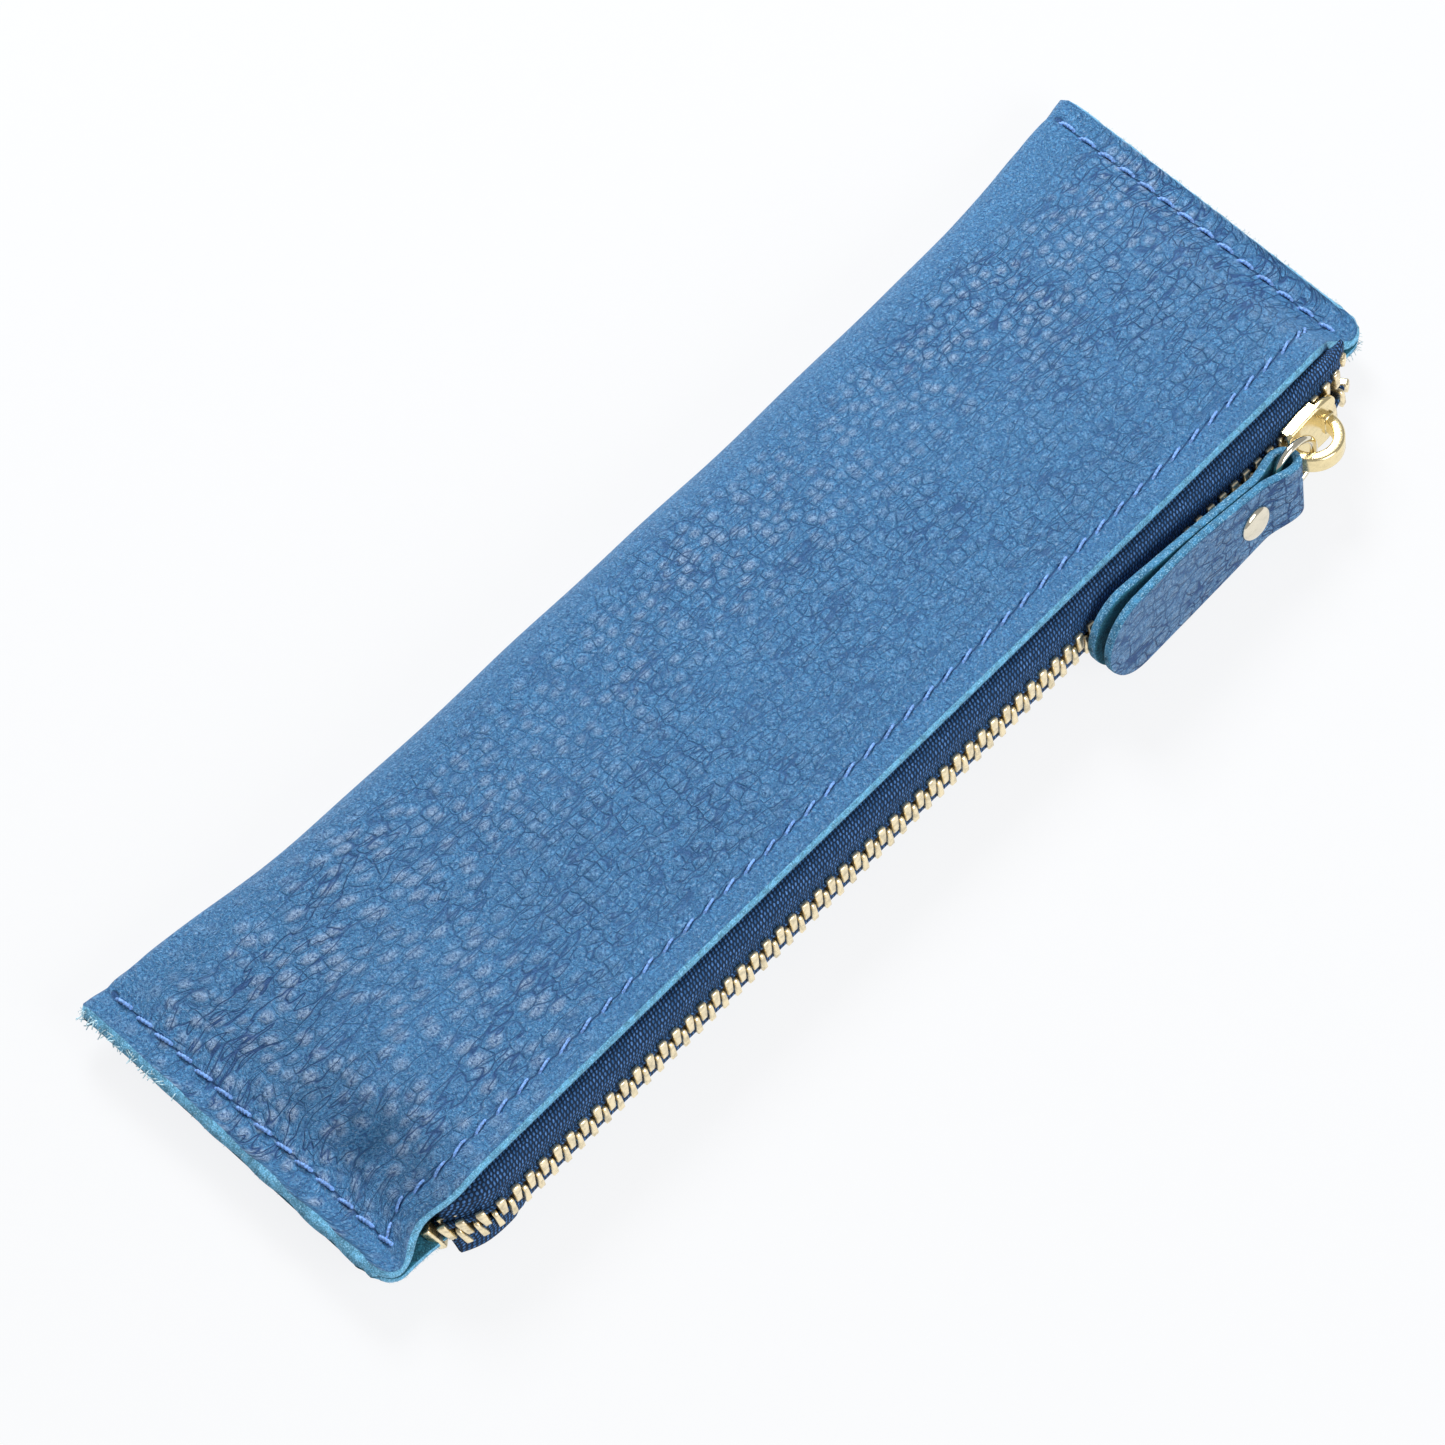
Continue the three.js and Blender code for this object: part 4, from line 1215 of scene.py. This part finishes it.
def make_slider(props):
    """Two plates, their flanges, the post between them and the crown's two feet."""
    work = bmesh.new()
    inner, outline = PLATE_INSIDE, plate_outline()
    slab(work, outline, inner, inner + PLATE, 0.38)
    slab(work, outline, -inner - PLATE, -inner, 0.38)
    for side in (-1, 1):
        wall = [(-4.9, 3.3), (-2.4, 3.3), (-0.4, 3.75), (1.2, 4.3), (1.25, 4.72), (-4.9, 4.02)]
        flange = np.array(wall) * (1, side)
        slab(work, flange, 0.42, inner + 0.5, 0.12)
        slab(work, flange, -inner - 0.5, -0.42, 0.12)
    post = np.array([(2.3, 0), (3.4, -0.8), (4.3, -0.8), (4.6, 0), (4.3, 0.8), (3.4, 0.8)])
    slab(work, post, -inner - 0.3, inner + 0.3, 0.1)
    half_x, half_y = LUG
    feet = (CROWN_SHIFT - CROWN_HALF + LUG_FROM_CROWN_END,
            CROWN_SHIFT + CROWN_HALF - LUG_FROM_CROWN_END)
    for x in feet:
        lug = np.array([(x - half_x, -half_y), (x + half_x, -half_y),
                        (x + half_x, half_y), (x - half_x, half_y)])
        lug[:, 1] += CROWN_DROP
        slab(work, lug, inner + PLATE - 0.3, inner + PLATE + 0.5, 0.22)
    bmesh.ops.transform(work, matrix=slider_matrix(props), verts=work.verts)
    mesh = bpy.data.meshes.new("slider_casting")
    for face in work.faces:
        face.smooth = face.calc_area() < 1.0 * MM * MM
    work.to_mesh(mesh)
    work.free()
    piece = bpy.data.objects.new("slider_casting", mesh)
    bpy.context.collection.objects.link(piece)
    set_materials(piece, [bpy.data.materials["gold_plating"]])
    finish_piece(piece, "slider", "pale_gold", "slider_body")


def make_crown(props):
    """The D-shaped loop: a softened strap bent over the outer plate."""
    turn = np.linspace(0, np.pi, 49)
    rim = CROWN_RIM / 2
    middle = np.stack([(CROWN_HALF - rim) * np.cos(turn), (CROWN_HEIGHT - rim) * np.sin(turn)], 1)
    feet = np.array([(CROWN_HALF - rim, -0.55)]), np.array([(-CROWN_HALF + rim, -0.55)])
    path = np.concatenate([feet[0], middle, feet[1]])
    run = unit(np.gradient(path, axis=0))
    side = np.stack([run[:, 1], -run[:, 0]], 1)
    corner = CROWN_ROUNDING
    section = []
    for cx, cy, start in ((1, 1, 0), (-1, 1, 90), (-1, -1, 180), (1, -1, 270)):
        for step in range(5):
            a = math.radians(start + 22.5 * step)
            section.append((cx * (rim - corner) + corner * math.cos(a),
                            cy * (CROWN_WIDTH / 2 - corner) + corner * math.sin(a)))
    section = np.array(section)
    rings = []
    for place, out in zip(path, side):
        flat = place + out * section[:, :1]
        rings.append(np.stack([flat[:, 0], section[:, 1], flat[:, 1] + CROWN_FOOT], 1))
    points, faces = sweep(rings)
    piece = new_mesh_object("slider_loop", points + (CROWN_SHIFT, CROWN_DROP, 0), faces)
    piece.data.transform(slider_matrix(props))
    outward(piece)
    set_materials(piece, [bpy.data.materials["gold_plating"]])
    finish_piece(piece, "slider", "pale_gold", "slider_crown")


def make_ring():
    """A round wire ring with its butt joint left a hair open."""
    gap, start = math.radians(3.5), math.radians(305)
    turn = np.linspace(start + gap / 2, start + 2 * math.pi - gap / 2, 97)
    round_turn = np.linspace(0, 2 * math.pi, 20, endpoint=False)
    rings = []
    for a in turn:
        out = np.array([math.cos(a), math.sin(a), 0])
        ring = out * (RING_RADIUS + RING_WIRE * np.cos(round_turn)[:, None])
        rings.append(ring + np.array([0, 0, 1]) * RING_WIRE * np.sin(round_turn)[:, None])
    points, faces = sweep(rings)
    piece = new_mesh_object("wire_ring", points + RING_FROM_CREASE, faces)
    piece.data.transform(tab_matrix())
    outward(piece)
    set_materials(piece, [bpy.data.materials["ring_plating"]])
    finish_piece(piece, "ring", "ring_plate", "jump_ring")


def tab_half_gap(s):
    """From the tab's middle to the middle of each layer, at a distance s from the crease."""
    lobe = 1.25 * ease(9, 2.6, s)
    tip = 0.75 * ease(20, TAB_LENGTH, s)
    return TAB_LEATHER / 2 + 0.12 + lobe + tip


def tab_half_width(s):
    """Half the tab's width at a distance s from the crease, rounded off at its end."""
    narrow, wide = TAB_WIDTHS
    straight = (narrow + (wide - narrow) * ease(0, 27, s)) / 2
    past = np.maximum(0, s - (TAB_LENGTH - TAB_END_RADIUS))
    return np.minimum(straight, np.sqrt(np.maximum(0.02, TAB_END_RADIUS**2 - past**2)))


def make_tab(props):
    """One strip folded at the ring, its two teardrop ends laid together."""
    tip = TAB_LENGTH - TAB_END_RADIUS + TAB_END_RADIUS * np.sin(np.linspace(np.pi / 2, 0, 20))
    flat_run = np.linspace(TAB_LENGTH - TAB_END_RADIUS - 0.5, TAB_BEND_END, 60)
    run = np.concatenate([tip, flat_run])
    lower = np.stack([run, -tab_half_gap(run)], 1)
    radius = float(tab_half_gap(TAB_BEND_END))
    middle = TAB_LEATHER / 2 + radius
    turn = np.linspace(-np.pi / 2, -3 * np.pi / 2, 26)[1:-1]
    crease = np.stack([middle + radius * np.cos(turn), radius * np.sin(turn)], 1)
    line = np.concatenate([lower, crease, lower[::-1] * (1, -1)])
    widths = np.concatenate([
        tab_half_width(run), tab_half_width(crease[:, 0]), tab_half_width(run[::-1])])
    normal = np.gradient(line, axis=0)
    normal = unit(np.stack([-normal[:, 1], normal[:, 0]], 1))
    span = np.linspace(-1, 1, 21)
    span = np.sign(span) * (1 - (1 - np.abs(span)) ** 1.25)
    half = TAB_LEATHER / 2
    rows, columns = len(line), len(span)

    def layer(offset, inset):
        flat = line + normal * offset
        grid = np.zeros((rows, columns, 3))
        grid[..., 0] = flat[:, :1]
        grid[..., 1] = span[None, :] * (widths[:, None] - inset)
        grid[..., 2] = flat[:, 1:]
        return grid.reshape(-1, 3)

    outer, inner = layer(half, 0.12), layer(-half, 0.06)
    faces, sides, border = two_sided_sheet(rows, columns)
    rim = (outer[border] + inner[border]) / 2
    rng = np.random.default_rng(11)
    rim[:, 1] += np.sign(rim[:, 1]) * (0.16 + rng.normal(0, 0.05, len(border)))
    piece = new_mesh_object("leather_tab", np.concatenate([outer, inner, rim]), faces)
    along = np.repeat(arc_length(line), columns)
    uv = np.stack([along, outer[:, 1]], 1)
    add_uv(piece, np.concatenate([uv, uv, uv[border]]))
    grain = grain_leather("tab_leather", props.colours, pebble=0.48, relief=1.4, fine_sheen=0.26)
    flesh, cut = bpy.data.materials["flesh_side"], bpy.data.materials["tab_edge"]
    set_materials(piece, [grain, flesh, cut], sides)
    outward(piece)
    piece.data.transform(tab_matrix())
    finish_piece(piece, "tab", "leather", "pull_tab")


def make_rivet():
    """Two domed caps and the shank between them."""
    face = float(tab_half_gap(RIVET_FROM_CREASE)) + TAB_LEATHER / 2
    for name, side, node in (("rivet_front", -1, "rivet_stud"), ("rivet_back", 1, "rivet_socket")):
        dome = bezier([(0, 1.0), (1.7, 1.0), (2.75, 0.75), (2.9, 0.18)], 14)
        under = np.array([(2.84, 0.02), (2.6, -0.06), (0.95, -0.1), (0.95, -face), (0, -face)])
        profile = np.concatenate([dome, under])
        turn = np.linspace(0, 2 * np.pi, RIVET_SIDES, endpoint=False)
        rings = []
        for r, z in profile[1:-1]:
            level = np.full(RIVET_SIDES, side * (z + face))
            rings.append(np.stack([r * np.cos(turn), r * np.sin(turn), level], 1))
        points, faces = sweep(rings)
        piece = new_mesh_object(name, points + (RIVET_FROM_CREASE, 0, 0), faces)
        piece.data.transform(tab_matrix())
        outward(piece)
        set_materials(piece, [bpy.data.materials["ring_plating"]])
        finish_piece(piece, "tab", "ring_plate", node)


# ---- sewing and loose fibres -----------------------------------------------------------------


def stitch_tree():
    """Short slanted runs of twisted thread whose ends dive into the leather."""
    tree, nodes, given, spaced, turn = spaced_tree(
        "lock_stitches",
        [("Stitch Length", "NodeSocketFloat"), ("Thread", "NodeSocketFloat"),
         ("Slant", "NodeSocketFloat")])
    half = nodes.math("MULTIPLY", given["Stitch Length"], 0.5)
    start = nodes.add("ShaderNodeCombineXYZ", nodes.math("MULTIPLY", half, -1.0))
    end = nodes.add("ShaderNodeCombineXYZ", half)
    line = nodes.add("GeometryNodeCurvePrimitiveLine", start, end)
    fine = nodes.add("GeometryNodeResampleCurve", Curve=line, Count=13, mode="COUNT")
    split = nodes.tree.nodes.new("ShaderNodeSeparateXYZ")
    nodes.tree.links.new(nodes.add("GeometryNodeInputPosition"), split.inputs[0])
    out = nodes.math("DIVIDE", split.outputs[0], half)
    power = nodes.math("POWER", nodes.math("ABSOLUTE", out), 3.0)
    depth = nodes.math("MULTIPLY", power, nodes.math("MULTIPLY", given["Thread"], -1.35))
    rise = nodes.math("ADD", depth, nodes.math("MULTIPLY", given["Thread"], 0.45))
    bent = nodes.add("GeometryNodeSetPosition", fine, Offset=nodes.add(
        "ShaderNodeCombineXYZ", 0.0, 0.0, rise))
    twisted = nodes.add("GeometryNodeSetCurveTilt", bent, Tilt=nodes.math("MULTIPLY", out, 9.0))
    radius = nodes.math("MULTIPLY", given["Thread"], 0.5)
    ring = nodes.add("GeometryNodeCurvePrimitiveCircle", Resolution=8, Radius=radius, mode="RADIUS")
    oval = nodes.add("GeometryNodeTransform", ring, Scale=(1.0, 0.74, 1.0))
    tube = nodes.add("GeometryNodeCurveToMesh", twisted, oval, Fill_Caps=True)
    slant = nodes.add("FunctionNodeEulerToRotation", nodes.add(
        "ShaderNodeCombineXYZ", 0.0, 0.0, given["Slant"]))
    rotation = nodes.add("FunctionNodeRotateRotation", turn, slant, rotation_space="LOCAL")
    placed = nodes.add("GeometryNodeInstanceOnPoints", spaced, Instance=tube, Rotation=rotation)
    end_tree(nodes, placed, given["Material"])
    return tree


SEAM_LIFT = 0.10
END_SEAM_FROM_FOLD = 4.4
END_THREAD_SHARE = 1.45  # the end seams show thicker thread than the mouth seams
END_SLANT_SHARE = 0.7


def make_seams(props, hide_surface):
    """The needle thread of both mouth seams and of the two layers of each end seam."""
    seam, tree = props.seam, stitch_tree()
    half_length = props.hide.length / MM / 2
    from_mouth, from_end = seam.from_mouth / MM, seam.from_end / MM
    mouth_pitch = seam.mouth_pitch / MM
    thread = bpy.data.materials["twisted_blue_thread"]

    def sew(name, xs, vs, pitch, slant, thickness, node):
        points, normals = hide_surface.at(xs, vs, SEAM_LIFT)
        piece = line_object(name, points, normals)
        run_tree(piece, tree, pitch=pitch, stitch_length=seam.stitch_length, thread=thickness,
                 slant=slant, material=thread)
        finish_piece(piece, "case", "sewing_thread", node)

    count = int((half_length - from_end - 2) * 2 / mouth_pitch)
    start = math.floor(-count / 2) * mouth_pitch
    xs = np.linspace(start, start + count * mouth_pitch, 400)
    for word, v in (("upper", from_mouth), ("lower", SHEET_WIDTH - from_mouth)):
        sew(f"{word}_mouth_stitches", xs, np.full(len(xs), v), seam.mouth_pitch,
            seam.slant, seam.thread, f"{word}_zip_needle_thread")

    fold = SHEET_WIDTH / 2
    end_seams = (("upper", from_mouth, fold - END_SEAM_FROM_FOLD),
                 ("lower", SHEET_WIDTH - from_mouth, fold + END_SEAM_FROM_FOLD))
    for end, side in (("left", -1), ("right", 1)):
        x = side * (half_length - from_end)
        for word, start, stop in end_seams:
            vs = np.linspace(start, stop, 120)
            sew(f"{end}_{word}_stitches", np.full(len(vs), x), vs, seam.end_pitch,
                seam.slant * END_SLANT_SHARE, seam.thread * END_THREAD_SHARE,
                f"{end}_end_{word}_thread")


def fibre_tree():
    """Short bent hairs at random along a line, each turned and sized by chance."""
    tree, nodes, given, spaced, turn = spaced_tree(
        "loose_fibres", [("Fibre Length", "NodeSocketFloat"), ("Share", "NodeSocketFloat"),
                         ("Seed", "NodeSocketInt")])
    bend = nodes.add(
        "GeometryNodeCurveQuadraticBezier", Resolution=4, Start=(0, 0, -0.2),
        Middle=(0.05, 0.1, 0.5), End=(0.35, -0.1, 0.9))
    ring = nodes.add("GeometryNodeCurvePrimitiveCircle", Resolution=3, Radius=0.05, mode="RADIUS")
    hair = nodes.add("GeometryNodeCurveToMesh", bend, ring, Fill_Caps=True)

    def chance(low, high, shift, kind="FLOAT"):
        seed = nodes.math("ADD", given["Seed"], shift)
        return nodes.add(
            "FunctionNodeRandomValue", data_type=kind, Min=low, Max=high, Seed=seed,
            out=0 if kind == "FLOAT_VECTOR" else 1)

    kept = nodes.add(
        "FunctionNodeCompare", chance(0.0, 1.0, 0), given["Share"], operation="LESS_THAN",
        data_type="FLOAT")
    spin = nodes.add("FunctionNodeEulerToRotation", chance(
        (-1.0, -1.0, -3.0), (1.0, 1.0, 3.0), 1, "FLOAT_VECTOR"))
    rotation = nodes.add("FunctionNodeRotateRotation", turn, spin, rotation_space="LOCAL")
    size = nodes.math("MULTIPLY", given["Fibre Length"], chance(0.35, 1.0, 2))
    placed = nodes.add("GeometryNodeInstanceOnPoints", spaced, Selection=kept, Instance=hair,
                       Rotation=rotation, Scale=size)
    end_tree(nodes, placed, given["Material"])
    return tree


FIBRE_PITCH = 0.12 * MM


def make_fibres(hide_surface):
    """Loose fibres where the hide was cut: both layers of each short end and the mouth."""
    tree = fibre_tree()
    points = hide_surface.points
    middle = points.shape[1] // 2
    spots = [  # name, points, way out, longest fibre in millimetres, share kept, seed
        ("left_corner_fibres", points[0, middle - 22:middle + 4], (-1.0, 0.1, -0.3), 2.2, 0.5, 3),
        ("left_end_fibres", points[0, 6:middle - 20], (-1.0, 0.0, -0.2), 0.7, 0.40, 5),
        ("left_belly_fibres", points[0, middle + 2:-6], (-1.0, 0.0, -0.1), 0.9, 0.35, 7),
        ("right_end_fibres", points[-1, 6:middle - 4], (1.0, 0.0, 0.1), 0.8, 0.35, 9),
        ("right_corner_fibres", points[-14:, -1], (0.6, -1.0, -0.1), 1.0, 0.7, 11),
        ("mouth_fibres", points[8:-8, 0], (0.0, -1.0, 0.1), 0.35, 0.35, 13),
        ("lower_mouth_fibres", points[2:28, -1], (-0.2, -1.0, 0.1), 0.6, 0.6, 15),
    ]
    for name, line, facing, size, share, seed in spots:
        facing = np.broadcast_to(unit(np.array(facing)), line.shape)
        offset = facing * (hide_surface.half * 0.2)
        piece = line_object(name, line + offset, facing)
        run_tree(piece, tree, pitch=FIBRE_PITCH, fibre_length=size * MM, share=share, seed=seed,
                 material=bpy.data.materials["fibre"])
        finish_piece(piece, "case", "leather")


# ---- stage -----------------------------------------------------------------------------------

FLOOR_REACH = 3000
VIEW_AZIMUTH = -46.84
VIEW_ELEVATION = 63.40
VIEW_DISTANCE = 0.74814
VIEW_LENS = 129.65
VIEW_TARGET = (-0.00747, -0.00242, 0.0)


def make_camera():
    """The camera above the front of the case, to the left."""
    camera = bpy.data.objects.new("camera", bpy.data.cameras.new("camera"))
    bpy.context.collection.objects.link(camera)
    a, e = math.radians(VIEW_AZIMUTH), math.radians(VIEW_ELEVATION)
    back = Vector((math.sin(a) * math.cos(e), -math.cos(a) * math.cos(e), math.sin(e)))
    camera.location = Vector(VIEW_TARGET) + back * VIEW_DISTANCE
    camera.rotation_euler = (-back).to_track_quat("-Z", "Y").to_euler()
    camera.data.lens = VIEW_LENS
    camera.data.sensor_width = 36
    camera.data.clip_start, camera.data.clip_end = 0.01, 20
    bpy.context.scene.camera = camera


def area_light(name, place, aim, size, power):
    """A square softbox turned to face a point."""
    data = bpy.data.lights.new(name, "AREA")
    data.shape, data.size, data.energy = "SQUARE", size, power
    lamp = bpy.data.objects.new(name, data)
    lamp.location = place
    lamp.rotation_euler = (Vector(aim) - Vector(place)).to_track_quat("-Z", "Y").to_euler()
    bpy.context.collection.objects.link(lamp)


def make_stage():
    """The pale floor, the two softboxes and the light from all round."""
    r = FLOOR_REACH
    floor = new_mesh_object(
        "studio_floor", [(-r, -r, 0), (r, -r, 0), (r, r, 0), (-r, r, 0)], [(0, 1, 2, 3)],
        smooth=False)
    set_materials(floor, [studio_paper()])
    world = bpy.data.worlds.new("studio")
    bpy.context.scene.world = world
    world.use_nodes = True
    background = world.node_tree.nodes["Background"]
    background.inputs["Color"].default_value = (0.97, 0.985, 1.0, 1)
    background.inputs["Strength"].default_value = 0.40
    area_light("softbox_back", (0.30, 0.52, 0.56), (0.03, 0, 0), 0.30, 8.0)
    area_light("softbox_front", (0.05, -0.75, 0.50), (0, 0, 0), 0.5, 5.6)
    bpy.context.scene.view_settings.view_transform = "Standard"


# ---- operators -------------------------------------------------------------------------------


class PENCILCASE_OT_materials(bpy.types.Operator):
    """Make the materials that several pieces share"""

    bl_idname = "pencil_case.materials"
    bl_label = "Shared materials"
    bl_options = {"REGISTER", "UNDO"}

    def execute(self, context):
        c = context.scene.pencil_case.colours
        suede("flesh_side", tuple(c.suede), tuple(c.raw_edge))
        suede("raw_edge", tuple(c.raw_edge), tuple(c.fibre), 0.12, 0.6)
        suede("tab_edge", tuple(c.tab_edge), tuple(c.fibre), 0.22, 0.9)
        suede("fibre", tuple(c.fibre), tuple(c.fibre), 0.02, 0.2)
        woven_tape("zip_weave", tuple(c.tape))
        twisted_thread("twisted_blue_thread", tuple(c.thread))
        polished_metal("teeth_brass", tuple(c.teeth), 0.30, 0.03, 0.35)
        polished_metal("gold_plating", tuple(c.gold), 0.20, 0.004, 0.10)
        polished_metal("ring_plating", tuple(c.ring), 0.10, 0.004, 0.10)
        return {"FINISHED"}


class PENCILCASE_OT_hide(bpy.types.Operator):
    """Fold the sheet of pebbled hide and cut its raw edges"""

    bl_idname = "pencil_case.hide"
    bl_label = "Leather hide"
    bl_options = {"REGISTER", "UNDO"}

    def execute(self, context):
        make_hide(context.scene.pencil_case)
        return {"FINISHED"}


class PENCILCASE_OT_zip(bpy.types.Operator):
    """Weave the tapes, crimp the teeth on their cords and close the chain with stops"""

    bl_idname = "pencil_case.zip"
    bl_label = "Zip chain"
    bl_options = {"REGISTER", "UNDO"}

    def execute(self, context):
        props = context.scene.pencil_case
        tree = teeth_tree()
        for side, word, slim, reach in TOOTH_ROWS:
            mould = make_tooth_mould(props, slim, reach)
            make_tape(props, side, word)
            make_cord(props, side, word)
            make_teeth(props, side, word, tree, mould)
            bpy.data.objects.remove(mould)
        make_stops(props)
        return {"FINISHED"}


class PENCILCASE_OT_slider(bpy.types.Operator):
    """Cast the slider with its tall loop"""

    bl_idname = "pencil_case.slider"
    bl_label = "Slider"
    bl_options = {"REGISTER", "UNDO"}

    def execute(self, context):
        props = context.scene.pencil_case
        make_slider(props)
        make_crown(props)
        return {"FINISHED"}


class PENCILCASE_OT_pull(bpy.types.Operator):
    """Hang the riveted leather tab on its wire ring"""

    bl_idname = "pencil_case.pull"
    bl_label = "Ring and tab"
    bl_options = {"REGISTER", "UNDO"}

    def execute(self, context):
        props = context.scene.pencil_case
        make_ring()
        make_tab(props)
        make_rivet()
        return {"FINISHED"}


class PENCILCASE_OT_sewing(bpy.types.Operator):
    """Sew the mouth and the two short ends"""

    bl_idname = "pencil_case.sewing"
    bl_label = "Seams"
    bl_options = {"REGISTER", "UNDO"}

    def execute(self, context):
        props = context.scene.pencil_case
        make_seams(props, HideSurface(props))
        return {"FINISHED"}


class PENCILCASE_OT_fibres(bpy.types.Operator):
    """Raise the loose fibres along the cut edges"""

    bl_idname = "pencil_case.fibres"
    bl_label = "Loose fibres"
    bl_options = {"REGISTER", "UNDO"}

    def execute(self, context):
        make_fibres(HideSurface(context.scene.pencil_case))
        return {"FINISHED"}


class PENCILCASE_OT_stage(bpy.types.Operator):
    """Set the camera, the pale floor and the soft lights"""

    bl_idname = "pencil_case.stage"
    bl_label = "Studio"
    bl_options = {"REGISTER", "UNDO"}

    def execute(self, context):
        make_camera()
        make_stage()
        return {"FINISHED"}


STEPS = ("stage", "materials", "hide", "zip", "slider", "pull", "sewing", "fibres")


class PENCILCASE_PT_panel(bpy.types.Panel):
    """Lists the steps that build the pencil case"""

    bl_label = "Pencil Case"
    bl_idname = "PENCILCASE_PT_panel"
    bl_space_type = "VIEW_3D"
    bl_region_type = "UI"
    bl_category = "Pencil Case"

    def draw(self, context):
        for step in STEPS:
            self.layout.operator(f"pencil_case.{step}")


CLASSES = (
    PencilCaseHideSizes, PencilCaseZipSizes, PencilCaseSeamSizes, PencilCaseColours,
    PencilCaseProperties, PENCILCASE_OT_materials, PENCILCASE_OT_hide, PENCILCASE_OT_zip,
    PENCILCASE_OT_slider, PENCILCASE_OT_pull, PENCILCASE_OT_sewing, PENCILCASE_OT_fibres,
    PENCILCASE_OT_stage, PENCILCASE_PT_panel,
)


def register():
    for item in CLASSES:
        bpy.utils.register_class(item)
    bpy.types.Scene.pencil_case = bpy.props.PointerProperty(type=PencilCaseProperties)


def unregister():
    del bpy.types.Scene.pencil_case
    for item in reversed(CLASSES):
        bpy.utils.unregister_class(item)


def main():
    register()
    for step in STEPS:
        getattr(bpy.ops.pencil_case, step)()


if __name__ == "__main__":
    main()
